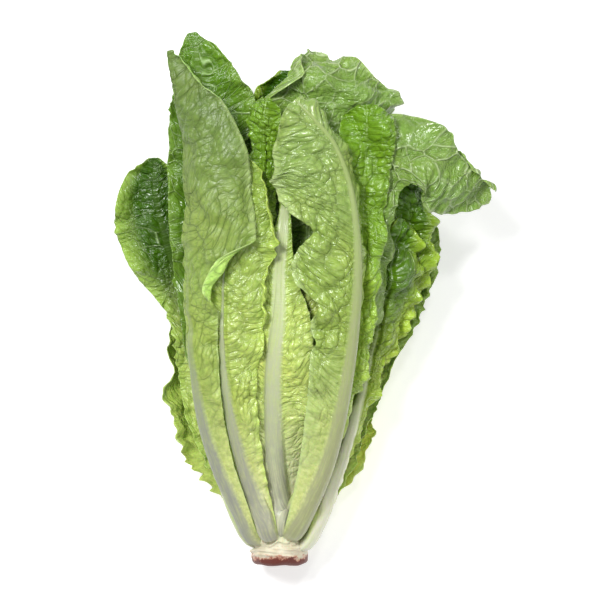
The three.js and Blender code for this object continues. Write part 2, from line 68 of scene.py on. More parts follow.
def course(stations, t):
    """A smooth curve through the stations, t from 0 to their count less one."""
    last = len(stations) - 1
    i = np.minimum(np.clip(t, 0, last).astype(int), last - 1)
    f = (np.clip(t, 0, last) - i)[:, None]
    a, b, c, d = (stations[np.clip(k, 0, last)] for k in (i - 1, i, i + 1, i + 2))
    return 0.5 * (2 * b + (c - a) * f + (2 * a - 5 * b + 4 * c - d) * f**2
                  + (3 * b - a - 3 * c + d) * f**3)


def unit(v):
    return v / np.maximum(np.linalg.norm(v, axis=-1, keepdims=True), 1e-9)


def rib_half(leaf, u):
    return leaf["rib"] * 0.92 * (1 - u) ** 1.15 + RIB_EDGE


def margin_wave(leaf, u, side):
    phase = leaf["seed"] * 1.7 + np.where(side > 0, 0.0, 2.3)
    turn = 2 * math.pi * u
    return (0.62 * np.sin(leaf["waves"] * turn + phase + 0.9 * np.sin(1.3 * turn + phase))
            + 0.38 * np.sin(leaf["waves"] * 1.83 * turn + 1.9 * phase))


def half_widths(leaf, u):
    return course(leaf["stations"], u * (len(leaf["stations"]) - 1))[:, 4:6]


def wide_at(leaf, u, c):
    """Half width of the blade at rows u, on the side that each column c is on."""
    return np.maximum(np.where(c < 0, half_widths(leaf, u)[:, :1], half_widths(leaf, u)[:, 1:]), NARROWEST)


def across(leaf, u, c):
    """Place across the blade, -1 to 1, of column c: 0 to 1 over the rib and 1 to 2 over the blade."""
    edge = np.minimum(0.55, rib_half(leaf, u)[:, None] / wide_at(leaf, u, c))
    off = np.abs(c)[None, :]
    return np.sign(c)[None, :] * np.where(off <= 1, off * edge, edge + (1 - edge) * (off - 1))


def lay_out(leaf, u, s):
    """Points of the leaf's inner face at u along it and s across it, the outward normals there, how far
    each point is from the midrib along the blade, and the half width of its side."""
    n = len(leaf["stations"]) - 1
    at = course(leaf["stations"], u * n)
    along = unit(course(leaf["stations"], np.clip(u + 1e-3, 0, 1) * n)[:, :3]
                 - course(leaf["stations"], np.clip(u - 1e-3, 0, 1) * n)[:, :3])
    face = np.radians(at[:, 3])
    out = np.stack([np.cos(face), 0 * face, np.sin(face)], 1)
    out = unit(out - (out * along).sum(1, keepdims=True) * along)
    sidewards = np.cross(along, out)
    side = np.where(s < 0, -1.0, 1.0)
    wide = np.maximum(np.where(s < 0, at[:, 4:5], at[:, 5:6]), NARROWEST)
    curl = np.radians(np.where(s < 0, at[:, 6:7], at[:, 7:8]))
    curl = np.where(np.abs(curl) < 1e-4, 1e-4, curl)
    t = np.abs(s)
    normal = (np.cos(curl * t)[..., None] * out[:, None]
              + (side * np.sin(curl * t))[..., None] * sidewards[:, None])
    fall = ease(0.35, 1, t) * (ease(0.12, 0.35, u) * (0.35 + 0.65 * ease(0.3, 0.75, u)))[:, None]
    sway = leaf["ruffle"] * fall * np.minimum(1, wide / 25) * margin_wave(leaf, u[:, None], side)
    point = (at[:, None, :3] + (side * wide * np.sin(curl * t) / curl)[..., None] * sidewards[:, None]
             - (wide * (1 - np.cos(curl * t)) / curl)[..., None] * out[:, None] + sway[..., None] * normal)
    return point, normal, t * wide, wide + 0 * t


def thickness(leaf, u, arc):
    """Room that the leaf takes in the stack."""
    x = arc / rib_half(leaf, u)[:, None]
    swell = (leaf["deep"] * (1 - u) ** 1.3 + 0.7)[:, None]
    return BLADE + swell * np.sqrt(np.maximum(0, 1 - x * x))


def rib_body(leaf, u, arc):
    """The rib as it is seen: its half width, and how thick blade and rib are together."""
    sinks = 1 - 0.97 * ease(leaf["rib_until"] - 0.25, leaf["rib_until"] + 0.1, u)
    half = (leaf["rib"] * 0.92 * (1 - u) ** leaf["taper"] * sinks + 0.45)[:, None]
    swell = ((leaf["deep"] * (1 - u) ** 1.3 + 0.35) * sinks)[:, None]
    return half, THIN + swell * np.sqrt(np.maximum(0, 1 - (arc / half) ** 2))


# How the leaves lie on each other: height maps of what is lowest above and highest below.
STACK_GAP = 1.1  # mm, clear height between two leaves
STACKED_FROM = (24, 46)  # mm from the stem: nearer to it the bases sit in rings
STACK_MAP = (3.0, (-141, -18), (104, 126), 1)  # mm of a square, mm of its corner, squares, squares of rim
roof = np.full(STACK_MAP[2], 1e9)
ground = np.full(STACK_MAP[2], -STACK_GAP)


def square_of(x, y, height_map):
    """The square of a height map that each place lies in."""
    square, corner, size, rim = height_map
    return tuple(np.clip(((v - low) / square).astype(int), rim, n - 1 - rim)
                 for v, low, n in zip((x, y), corner, size))


def around(heights, x, y, pick):
    i, j = square_of(x, y, STACK_MAP)
    return pick.reduce([heights[i + a, j + b] for a in (-1, 0, 1) for b in (-1, 0, 1)])


def neighbours(v):
    p = np.pad(v, 1, "edge")
    return [v, p[:-2, 1:-1], p[2:, 1:-1], p[1:-1, :-2], p[1:-1, 2:]]


def mean(v):
    near = neighbours(v)
    return (near[0] + sum(near)) / 6


def part_way(v, a, b):
    """The values of a sheet, part of the way from each point to the next ones."""
    return ((v[:-1, :-1] * (1 - a) + v[1:, :-1] * a) * (1 - b)
            + (v[:-1, 1:] * (1 - a) + v[1:, 1:] * a) * b)


def mark(heights, height_map, p, end, pick, a, b):
    """Writes the height of a sheet into the squares of a map that it covers."""
    where = square_of(part_way(p[..., 0], a, b), part_way(p[..., 1], a, b), height_map)
    pick.at(heights, where, part_way(end, a, b))


def settle(leaf):
    """How far the leaf is pushed down or up by the leaves already laid, at its coarse rows and columns."""
    rows = leaf["rows"]
    share = [1.36, 1.7, 2.0] if rows > 16 else [1.5, 2.0]
    columns = np.array([-c for c in share[::-1]] + [-1, -0.68, 0, 0.68, 1] + share)
    u = np.arange(rows) / (rows - 1)
    notch = 1 - 0.075 * (np.arange(rows) % 2) * ease(0.1, 0.3, u) * (1 - ease(0.9, 1, u))
    s = across(leaf, u, columns)
    s[:, 0] *= notch
    s[:, -1] *= notch
    p, normal, arc, _ = lay_out(leaf, u, s)
    rise = normal[..., 2] * thickness(leaf, u, arc)
    low, high = p[..., 2] + np.minimum(0, rise), p[..., 2] + np.maximum(0, rise)
    down = np.minimum(0, around(roof, p[..., 0], p[..., 1], np.minimum) - STACK_GAP - high)
    up = np.maximum(0, around(ground, p[..., 0], p[..., 1], np.maximum) + STACK_GAP - low)
    if leaf["lay"] == "bottom":
        shift = np.maximum.reduce(neighbours(up))
    else:
        shift = np.minimum.reduce(neighbours(0 * down if leaf["lay"] == "floor" else down))
    for _ in range(4):
        shift = mean(shift)
    if leaf["lay"] == "between":
        up = np.maximum(0, around(ground, p[..., 0], p[..., 1], np.maximum) + STACK_GAP - low - shift)
        shift = shift + mean(mean(np.maximum.reduce(neighbours(up))))
    moved = shift * ease(*STACKED_FROM, p[..., 1])
    end, heights, pick = ((high, ground, np.maximum) if leaf["lay"] in ("bottom", "floor")
                          else (low, roof, np.minimum))
    end = end + moved
    for a in np.arange(0, 1.01, 0.125):
        for b in np.arange(0, 1.01, 0.2):
            mark(heights, STACK_MAP, p, end, pick, a, b)
    return columns, shift


def between_rows(columns, shift, u, c):
    """The coarse shift at rows u and columns c of the fine sheet."""
    row = u * (len(shift) - 1)
    i = np.minimum(row.astype(int), len(shift) - 2)
    f = (row - i)[:, None]
    lower, upper = (np.stack([np.interp(c[k], columns, shift[j]) for k, j in enumerate(i + a)])
                    for a in (0, 1))
    return lower * (1 - f) + upper * f


# The network of veins: cells whose borders are the veins, with the soft tissue puffed up between.
cell_maker = bpy.data.node_groups.new("vein_cells", "GeometryNodeTree")
cell_maker.interface.new_socket("Geometry", in_out="INPUT", socket_type="NodeSocketGeometry")
cell_maker.interface.new_socket("Geometry", in_out="OUTPUT", socket_type="NodeSocketGeometry")
SMALL_CELLS = 2.3  # how many small puckers lie along one wide one


def vein_borders(cells):
    """How far each point of the vein plan is from the nearest border of its cell."""
    plan = bpy.data.meshes.new("vein_plan")
    flat = cells.reshape(-1, 2)
    plan.vertices.add(len(flat))
    plan.vertices.foreach_set("co", np.column_stack([flat, 0 * flat[:, :1]]).astype(np.float32).ravel())
    holder = bpy.data.objects.new("vein_plan", plan)
    bpy.context.scene.collection.objects.link(holder)
    holder.modifiers.new("cells", "NODES").node_group = cell_maker
    found = holder.evaluated_get(bpy.context.evaluated_depsgraph_get()).data.attributes["border"]
    far = np.empty(len(flat), np.float32)
    found.data.foreach_get("value", far)
    bpy.data.objects.remove(holder)
    bpy.data.meshes.remove(plan)
    return far.reshape(cells.shape[:2])


def fill(node, values):
    """Sets the inputs of a node, and links those whose value comes out of another node."""
    for key, value in values.items():
        if isinstance(value, bpy.types.NodeSocket):
            node.id_data.links.new(value, node.inputs[key])
        else:
            node.inputs[key].default_value = value


def put(tree, kind, values=(), **settings):
    """Adds a node to a tree, with its settings and its inputs."""
    node = tree.nodes.new(kind)
    for key, value in settings.items():
        setattr(node, key, value)
    fill(node, dict(values))
    return node


def border_node(tree, places, scale):
    return put(tree, "ShaderNodeTexVoronoi", {"Vector": places, "Scale": scale, "Randomness": 1.0},
               voronoi_dimensions="2D", feature="DISTANCE_TO_EDGE").outputs["Distance"]


cells_in = cell_maker.nodes.new("NodeGroupInput")
stored = put(cell_maker, "GeometryNodeStoreNamedAttribute", {
    "Geometry": cells_in.outputs[0], "Name": "border",
    "Value": border_node(cell_maker, cell_maker.nodes.new("GeometryNodeInputPosition").outputs[0], 1.0),
}, data_type="FLOAT", domain="POINT")
put(cell_maker, "NodeGroupOutput", {0: stored.outputs[0]})

ROLLED = 2.75  # rad, how far a margin that turns out is rolled


def turn_out(leaf, strip, u, s, p, normal, held):
    """Rolls a strip of one margin back over the outer face, as a margin does that dries and turns out."""
    side, start, end, deep, roll = strip  # left is -1, shares of the length, mm rolled back and its radius
    depth = deep * ease(start, start + 0.05, u) * (1 - ease(end - 0.05, end, u))
    depth *= 0.85 + 0.15 * np.sin(u * 40 + leaf["seed"])
    broad = wide_at(leaf, u, np.array([side]))[:, 0]
    fold = side * (1 - np.minimum(depth / broad, 0.6))
    at, up, _, _ = lay_out(leaf, u, fold[:, None])
    near, _, _, _ = lay_out(leaf, u, fold[:, None] - side * 0.02)
    ahead, up = unit(at - near), unit(up)
    past = np.maximum((s * side - np.abs(fold)[:, None]) * broad[:, None], 0)
    bend = np.minimum(past / roll, ROLLED)
    rest = np.maximum(past - ROLLED * roll, 0)
    turned = (at + (roll * np.sin(bend) + rest * np.cos(bend))[..., None] * ahead
              + (roll * (1 - np.cos(bend)) + rest * np.sin(bend))[..., None] * up)
    rolled = (past > 0)[..., None]
    facing = np.cos(bend)[..., None] * up - np.sin(bend)[..., None] * ahead
    back = np.abs(held) - np.where(past > 0, 2 * past / np.maximum(broad[:, None], 1), 0)
    return (np.where(rolled, turned, p), np.where(rolled, facing, normal),
            np.where(past > 0, side * np.maximum(back, 1), held))


STEM_AXIS, STEM_RISE = (0, 22), 0.28  # mm, x and z of the stem's axis at its cut end, its climb per mm
COURSE_STEPS = 400  # how finely a leaf's length is measured
RIB_COLUMNS = (-0.94, -0.8, -0.55, -0.28, 0, 0.28, 0.55, 0.8, 0.94)  # of points, from edge to edge of the rib
TOOTH_STEP, LOBE_STEP, PLEAT_STEP = 7.5, 23, 6.2  # mm along the margin, and along a vein
MOST_PRESS = 7  # mm that one leaf pushes another
PRESS_MAP = (2.0, (-142, -20), (158, 188), 0)  # laid out as STACK_MAP, and finer
PRESS_GAP = 0.35  # mm, kept between two blades that touch
press_roof = np.full(PRESS_MAP[2], 1e9)
press_ground = np.full(PRESS_MAP[2], -1e9)


def outward(p, normal):
    turned = unit(np.cross(np.gradient(p, axis=1), np.gradient(p, axis=0)))
    return turned * np.sign(np.median((turned * normal).sum(-1)))


def grow(name, lay, finish, looks, stations):
    """Makes one leaf: the sheet with its teeth, puckers and frills, pressed against what it lies on. Lay
    says how it goes into the stack: on the floor, up from the bottom, down from the top or between."""
    leaf = {**PLAIN_LEAF, **looks, "lay": lay, "stations": np.array(stations, float)}
    columns, shift = settle(leaf)
    draw = np.random.default_rng(leaf["seed"])
    even = np.linspace(0, 1, COURSE_STEPS)
    midrib = course(leaf["stations"], even * (len(stations) - 1))[:, :3]
    steps = np.linalg.norm(np.diff(midrib, axis=0), axis=1)
    u = np.linspace(0, 1, int(steps.sum() / leaf["pitch"][0]) + 1)
    up = u[:, None]
    run = np.interp(u, even, np.concatenate([[0], steps.cumsum()]))[:, None]
    left, right = (np.linspace(0, 1, int(w / leaf["pitch"][1]) + 2) for w in half_widths(leaf, u).max(0))
    c = np.concatenate([-1 - left[::-1], RIB_COLUMNS, 1 + right])
    s = across(leaf, u, c)
    side = np.where(c < 0, -1.0, 1.0)[None, :]
    blade = np.clip(np.abs(c) - 1, 0, 1)[None, :]

    # teeth of the margin: each leans towards the tip, and no two are alike
    turn = draw.uniform(0, 6, 8)
    teeth = (run / TOOTH_STEP + 0.55 * np.sin(run / 11 + turn[0] + side)
             + 0.4 * np.sin(run / 5.3 + turn[1] - side))
    part = teeth % 1
    bite = np.where(part < 0.72, 1 - part / 0.72, (part - 0.72) / 0.28) ** 0.7
    uneven = 0.55 + 0.45 * np.sin(run / 17 + turn[2] * side)
    kept = draw.uniform(0.15, 1, (2, 400))[(side > 0).astype(int), np.abs(np.floor(teeth)).astype(int) % 400]
    bite = 1.3 * leaf["tooth"] * (1 - kept * (1 - bite)) * uneven * ease(0.06, 0.2, up)
    bite *= 1 - 0.7 * ease(0.93, 1, up)
    part = (run / LOBE_STEP + 0.5 * np.sin(run / 29 + turn[3] * side) + turn[5]) % 1
    bite += leaf["lobes"] * np.where(part < 0.6, 1 - part / 0.6, (part - 0.6) / 0.4) * ease(0.08, 0.25, up)
    for torn_side, torn_at, long, deep in leaf["torn"]:  # left is -1, shares of the length, mm
        bite += deep * np.exp(-((up - torn_at) / long) ** 2) * (side == torn_side)
    if not leaf["turned"]:  # a toothed margin stands out as far as it is cut in
        out = 0.45 * leaf["tooth"] * uneven + 0.5 * leaf["lobes"]
        bite -= out * ease(0.1, 0.25, up) * (1 - ease(0.9, 1, up))
    s = s * (1 - np.minimum(bite / np.maximum(wide_at(leaf, u, c), 5), 0.3) * blade**3)
    foot, foot_until = leaf["foot"], 0.05 if leaf["foot"] > 1 else 0.026
    s = s * (foot + (1 - foot) * ease(-0.012, foot_until, up))

    p, normal, arc, wide = lay_out(leaf, u, s)
    t = np.abs(s)
    held = c + 0 * s  # the column whose place in the stack each point takes
    for strip in leaf["turned"]:
        p, normal, held = turn_out(leaf, strip, u, s, p, normal, held)
    half, thick = rib_body(leaf, u, arc)
    thick = thick * (0.3 + 0.7 * ease(0, 0.03, up))  # the foot thins out where it meets the stem
    reach = np.maximum(arc - half, 0)
    sweep = run - leaf["sweep"] * reach - 0.003 * reach**2  # veins leave the rib slanting towards the tip
    warp = [0.3 * np.sin(run / 19 + turn[3] + side * reach / 13)
            + 0.2 * np.sin(side * reach / 6 + run / 9 + turn[4]),
            0.3 * np.sin(run / 15 + turn[5] - side * reach / 17)
            + 0.2 * np.sin(run / 8 - reach / 9 + turn[6])]
    cells = np.stack([sweep / leaf["cell"][0] + warp[0] + 31.0 * leaf["seed"],
                      side * reach / leaf["cell"][1] + warp[1] * ease(0, 8, reach)], -1)
    wide_dome = np.tanh(vein_borders(cells) / 0.26)
    small_dome = np.tanh(vein_borders(cells * SMALL_CELLS) / 0.3)
    no_rib = ease(leaf["rib_until"] - 0.25, leaf["rib_until"] + 0.1, up)
    grown = ease(*leaf["smooth_to"], up)  # the foot of a blade is smooth
    room = np.maximum(ease(0, 6, reach), no_rib) * (1 - 0.3 * ease(0.8, 1, t)) * grown
    calm = (np.sin(run / 9 + turn[2] + side * reach / 7) * np.sin(run / 16 - side * reach / 11 + turn[6])
            + 0.6 * np.sin(run / 5.3 - reach / 6 + turn[4]) * np.sin(reach / 4.7 + turn[0]))
    lively = 0.25 + 1.1 * ease(-0.6, 0.9, calm)  # some stretches of the blade are smooth, others puckered
    relief = leaf["puff"] * room * (0.9 * (wide_dome - 0.6) + 0.8 * lively * (small_dome - 0.5))
    slant = (2 * math.pi * sweep / PLEAT_STEP + 1.4 * np.sin(run / 13 + turn[7])
             + 1.1 * np.sin(reach / 5 + turn[0]))
    relief += leaf["fold"] * np.sin(slant) * ease(0, 4, reach) * (1 - ease(0.35, 0.85, t)) * grown
    curls = (0.6 * np.sin(run / 2.3 + 2.1 * np.sin(run / 15 + turn[1] * side) + turn[2])
             + 0.4 * np.sin(run / 1.31 + turn[3] * side))
    relief += (leaf["frill"] * curls * ease(0.4, 1, t) ** 1.3 * np.minimum(1, wide / 9)
               * ease(0.06, 0.22, up) * (0.6 + 0.4 * np.sin(run / 23 + turn[4] + side)))
    soft = 0
    for _ in range(8):  # the blade is never flat: crossing waves 12 to 40 mm long
        long, way, start = draw.uniform(12, 40), draw.uniform(0, math.pi), draw.uniform(0, 6)
        phase = (run * math.cos(way) + side * reach * math.sin(way)) * 2 * math.pi / long + start
        soft += 0.45 * (long / 40) ** 0.7 * np.sin(phase + 0.9 * np.sin(run / 14 + start))
    relief += leaf["crumple"] * soft * np.maximum(ease(0, 10, reach), no_rib) * grown
    p = p + relief[..., None] * normal
    p[..., 2] += between_rows(columns, shift, u, held) * ease(*STACKED_FROM, p[..., 1])

    # the foot dips into the side of the stem that it has grown from
    dip, dips_until = leaf["dip"]
    sunk = (1 - ease(0, dips_until, up)) * ease(60, 30, p[..., 1])
    p[..., 0] -= dip * sunk * (p[..., 0] - STEM_AXIS[0])
    p[..., 2] -= dip * sunk * (p[..., 2] - STEM_AXIS[1] - STEM_RISE * p[..., 1])
    p[..., 1] -= 3.0 * sunk

    # pressed against the leaves it touches, and its two faces made
    rise = outward(p, normal)[..., 2] * thick
    low, high = p[..., 2] + np.minimum(0, rise), p[..., 2] + np.maximum(0, rise)
    at = square_of(p[..., 0], p[..., 1], PRESS_MAP)
    from_above = lay in ("top", "between")
    pick, pressed = (np.minimum, press_roof) if from_above else (np.maximum, press_ground)
    need = pick(0, pressed[at] + (-PRESS_GAP - high if from_above else PRESS_GAP - low))
    need = np.clip(need, -MOST_PRESS, MOST_PRESS)
    for _ in range(2):
        need = pick.reduce(neighbours(need))
    for _ in range(3):
        need = mean(need)
    need = need * ease(*STACKED_FROM, p[..., 1])
    p[..., 2] += need
    out = outward(p, normal)
    q = p + out * thick[..., None]
    p[..., 2], q[..., 2] = np.maximum(p[..., 2], THIN), np.maximum(q[..., 2], 0)
    low, high = np.minimum(p[..., 2], q[..., 2]), np.maximum(p[..., 2], q[..., 2])
    for a in (0, 0.5):
        for b in (0, 0.5):
            mark(pressed, PRESS_MAP, p, low if from_above else high, pick, a, b)

    # one closed skin: inner face, outer face and the rim between them
    n, m = s.shape
    spot = np.arange(n * m).reshape(n, m)
    inner = np.stack([spot[:-1, :-1], spot[:-1, 1:], spot[1:, 1:], spot[1:, :-1]], -1).reshape(-1, 4)
    rim = np.concatenate([spot[:-1, 0], spot[-1, :-1], spot[1:, -1][::-1], spot[0, 1:][::-1]])
    after = np.roll(rim, -1)
    faces = np.concatenate([inner, inner[:, ::-1] + n * m,
                            np.stack([rim, after, after + n * m, rim + n * m], 1)])
    skin = bpy.data.meshes.new(name + "_blade")
    points = (np.concatenate([p.reshape(-1, 3), q.reshape(-1, 3)]) - HEAD_MIDDLE) / 1000
    if solid_volume(points, faces) < 0:
        faces = faces[:, ::-1]
    skin.vertices.add(len(points))
    skin.vertices.foreach_set("co", points.astype(np.float32).ravel())
    skin.loops.add(faces.size)
    skin.loops.foreach_set("vertex_index", faces.astype(np.int32).ravel())
    skin.polygons.add(len(faces))
    skin.polygons.foreach_set("loop_start", np.arange(0, faces.size, 4, dtype=np.int32))
    skin.update(calc_edges=True)
    skin.shade_smooth()

    # what the finish reads: the vein plan, the place on the leaf and the distance from the rib
    face = np.repeat([0.0, 1.0], n * m)
    x, y, share, place, from_rib = (np.tile(v.ravel(), 2) for v in (
        cells[..., 0], cells[..., 1], up + 0 * t, t, arc / half))
    set_down(skin, "vein_plan", (x, y, face))
    set_down(skin, "leaf_place", (share, place, from_rib))

    # its flat plan for baked pictures: the faces side by side, the rim along their borders
    across_map = 0.03 + 0.44 * np.arange(m) / (m - 1) + 0 * spot
    along_map = (0.03 + 0.94 * np.arange(n) / (n - 1))[:, None] + 0 * spot
    flat = np.stack([across_map, along_map], -1).reshape(-1, 2)
    middle = np.array([0.25, 0.5])
    corners = np.concatenate([flat, flat + [0.5, 0]])[faces]
    border = np.stack([flat[rim], flat[after], flat[after], flat[rim]], 1)
    border[:, 2:] += np.sign(np.round(border[:, 2:] - middle, 6)) * np.where(
        np.abs(border[:, 2:] - middle) > [0.2199, 0.4699], 0.008, 0)
    corners[-len(rim):] = border if faces[-1, 0] == rim[-1] else border[:, ::-1]
    skin.uv_layers.new(name="OFBake").uv.foreach_set("vector", corners.astype(np.float32).ravel())

    piece = stand(name + "_blade", skin, finish)
    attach(piece, "root")
    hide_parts(name)
    return piece


def set_down(mesh, label, parts):
    """Keeps three numbers at each point of a mesh, for its finish to read."""
    mesh.attributes.new(label, "FLOAT_VECTOR", "POINT").data.foreach_set(
        "vector", np.stack(parts, -1).astype(np.float32).ravel())


def stand(name, mesh, finish):
    """Puts a mesh into the scene as one object, with its finish."""
    made = bpy.data.objects.new(name, mesh)
    bpy.context.scene.collection.objects.link(made)
    mesh.materials.append(finish)
    return made


def solid_volume(points, faces):
    a, b, c, d = (points[faces[:, k]] for k in range(4))
    return float((np.cross(a, b) * c).sum() + (np.cross(a, c) * d).sum()) / 6


# The skin of every leaf as one group: where the veins run, how the colour goes from the pale foot to
# the green tip, and how the rib shines through. It gives a colour, a roughness and a bump height.
skin_group = bpy.data.node_groups.new("leaf_skin", "ShaderNodeTree")
for label, start in {
    "Foot": (0.5, 0.55, 0.25), "Middle": (0.3, 0.45, 0.1), "Tip": (0.2, 0.35, 0.06), "Green from": 0.1,
    "Green to": 0.5, "Yellowing": 0.3, "Inner face": (1.0, 1.0, 1.0), "Matte": 0.0,
    "Vein": (0.1, 0.2, 0.03), "Vein strength": 0.6, "Vein width": 0.035, "Vein rise": 0.6,
    "Rib foot": (0.56, 0.58, 0.38), "Rib tip": (0.3, 0.42, 0.14), "Rib until": 1.2,
    "Margin": (0.52, 0.66, 0.27), "Margin from": 0.93, "Margin strength": 0.45,
}.items():
    is_colour = isinstance(start, tuple)
    skin_group.interface.new_socket(
        label, in_out="INPUT", socket_type="NodeSocketColor" if is_colour else "NodeSocketFloat"
    ).default_value = (*start, 1) if is_colour else start
for label, kind in (("Color", "NodeSocketColor"), ("Roughness", "NodeSocketFloat"),
                    ("Height", "NodeSocketFloat")):
    skin_group.interface.new_socket(label, in_out="OUTPUT", socket_type=kind)
given = skin_group.nodes.new("NodeGroupInput").outputs


def tree_of(*values):
    return next(value.id_data for value in values if isinstance(value, bpy.types.NodeSocket))


def fade(x, low, high, start=0.0, end=1.0, ramp="SMOOTHSTEP"):
    """From start to end as x goes from low to high."""
    return put(x.id_data, "ShaderNodeMapRange", {
        "Value": x, "From Min": low, "From Max": high, "To Min": start, "To Max": end,
    }, interpolation_type=ramp).outputs["Result"]


def mixed(factor, a, b, how="MIX"):
    return put(tree_of(factor, a, b), "ShaderNodeMix", {0: factor, 6: a, 7: b}, data_type="RGBA",
               blend_type=how).outputs[2]


def times(a, b, plus=0.0):
    return put(tree_of(a, b), "ShaderNodeMath", {0: a, 1: b, 2: plus}, operation="MULTIPLY_ADD").outputs[0]


def clouds(place, scale, detail, **more):
    return put(place.id_data, "ShaderNodeTexNoise", {
        "Vector": place, "Scale": scale, "Detail": detail, **more}).outputs[0]


def stored_at(tree, label):
    place = put(tree, "ShaderNodeAttribute", attribute_name=label).outputs["Vector"]
    return place, put(tree, "ShaderNodeSeparateXYZ", {0: place}).outputs


def stretched(x, y=0.0):
    return put(tree_of(x), "ShaderNodeCombineXYZ", {0: x, 1: y}).outputs[0]


plan, (plan_along, plan_across, face_side) = stored_at(skin_group, "vein_plan")
_, (up, out_to, rib_way) = stored_at(skin_group, "leaf_place")
border_wide, border_small, border_fine = (border_node(skin_group, plan, n) for n in (1.0, SMALL_CELLS, 6.5))
body = put(skin_group, "ShaderNodeTexCoord").outputs["Object"]
patches, specks, grain = clouds(body, 28.0, 3.0), clouds(body, 420.0, 4.0), clouds(body, 1500.0, 2.0)
streaks = clouds(stretched(times(plan_along, 0.6), times(rib_way, 3.5)), 1.6, 4.0)
on_rib = times(fade(times(specks, 0.3, rib_way), 1.3, 0.85),
               fade(times(given["Rib until"], -1.0, up), -0.35, 0.05, 1.0, 0.08))
off_rib = times(on_rib, -1.0, 1.0)
vein_lines = put(skin_group, "ShaderNodeMath", {
    0: fade(border_wide, given["Vein width"], 0.0), 1: fade(border_small, 0.07, 0.0, 0.0, 0.25),
}, operation="MAXIMUM").outputs[0]
vein_lines = times(times(vein_lines, fade(rib_way, 1.0, 1.6)),
                   times(fade(patches, 0.35, 0.62, 0.15, 1.0), fade(up, 0.15, 0.55, 0.15, 1.0)))

tone = mixed(fade(up, 0.05, 0.42), given["Foot"], given["Middle"])
tone = mixed(fade(up, given["Green from"], given["Green to"]), tone, given["Tip"])
tone = mixed(fade(face_side, 0.6, 0.4), tone, given["Inner face"], "MULTIPLY")
yellowed = times(fade(patches, 0.42, 0.68), given["Yellowing"])
tone = mixed(yellowed, tone, (1.25, 1.08, 0.75, 1), "MULTIPLY")
tone = mixed(1.0, tone, put(skin_group, "ShaderNodeCombineColor", {
    0: fade(specks, 0.25, 0.75, 0.86, 1.16), 1: fade(specks, 0.25, 0.75, 0.9, 1.12),
    2: fade(specks, 0.25, 0.75, 0.8, 1.2)}).outputs[0], "MULTIPLY")
grown_up = fade(up, 0.08, 0.42, 0.15, 1.0)  # the foot of a blade is smooth
# painted shade: the colour darkens towards each cell border, where the creases between puckers lie in shade,
# and partly the darker tissue along the veins
painted_crease_shade = times(times(fade(border_wide, 0.0, 0.25, -0.17, 0.0), grown_up, 1.03),
               times(fade(border_small, 0.0, 0.3, -0.12, 0.0), grown_up, 1.03))
tone = mixed(off_rib, tone, mixed(1.0, tone, painted_crease_shade, "MULTIPLY"))
tone = mixed(times(vein_lines, given["Vein strength"]), tone, given["Vein"])
near_margin = fade(times(patches, 0.06, out_to), given["Margin from"], 1.02, ramp="LINEAR")
tone = mixed(times(near_margin, given["Margin strength"]), tone, given["Margin"])
rib_tone = mixed(fade(up, 0.1, 0.75), given["Rib foot"], given["Rib tip"])
rib_tone = mixed(fade(streaks, 0.35, 0.7, 0.0, 0.35), rib_tone, tone)
tone = mixed(on_rib, tone, rib_tone)
tone = mixed(fade(times(specks, 0.02, up), 0.008, 0.045), (0.54, 0.53, 0.38, 1), tone)

ripples = clouds(body, 150.0, 3.0, Distortion=0.4)
creases = clouds(stretched(times(plan_along, 5.0), times(plan_across, 1.5)), 1.0, 3.0, Distortion=0.5)
puckers = times(creases, 0.8, times(ripples, 0.5))
puckers = times(fade(border_small, 0.0, 0.3), 0.35, times(fade(border_fine, 0.0, 0.4), 0.1, puckers))
ridges = put(skin_group, "ShaderNodeTexWave", {"Vector": stretched(plan_along), "Scale": 2.2,
                                               "Distortion": 2.0}).outputs[1]
height = times(times(vein_lines, given["Vein rise"], times(puckers, grown_up)), off_rib)
height = times(times(ridges, 0.022, times(streaks, 0.3)), on_rib, height)
put(skin_group, "NodeGroupOutput", {
    "Color": tone, "Height": times(grain, 0.01, height),
    "Roughness": times(vein_lines, 0.08, times(on_rib, 0.1, times(
        fade(patches, 0.35, 0.7, 0.22, 0.34), 1.0, given["Matte"]))),
})


def new_finish(name):
    made = bpy.data.materials.new(name)
    made.use_nodes = True
    return made, made.node_tree, made.node_tree.nodes["Principled BSDF"]


def leaf_finish(name, colours, soft=0.2, bump=0.0016, wax=0.3):
    """A leaf's finish: its colours go into the skin group, soft is how far light sinks in, wax its shine."""
    made, tree, gloss = new_finish(name)
    skin = put(tree, "ShaderNodeGroup", node_tree=skin_group)
    fill(skin, {key: (*value, 1) if isinstance(value, tuple) else value for key, value in colours.items()})
    lift = put(tree, "ShaderNodeBump", {"Height": skin.outputs["Height"], "Distance": bump, "Strength": 0.9})
    fill(gloss, {
        "Base Color": skin.outputs["Color"], "Roughness": skin.outputs["Roughness"],
        "Normal": lift.outputs["Normal"], "Subsurface Weight": soft, "Subsurface Radius": (0.6, 1.0, 0.25),
        "Subsurface Scale": 0.0012, "Specular IOR Level": 0.5, "Coat Weight": wax, "Coat Roughness": 0.2,
        "Coat Normal": lift.outputs["Normal"],
    })
    return made


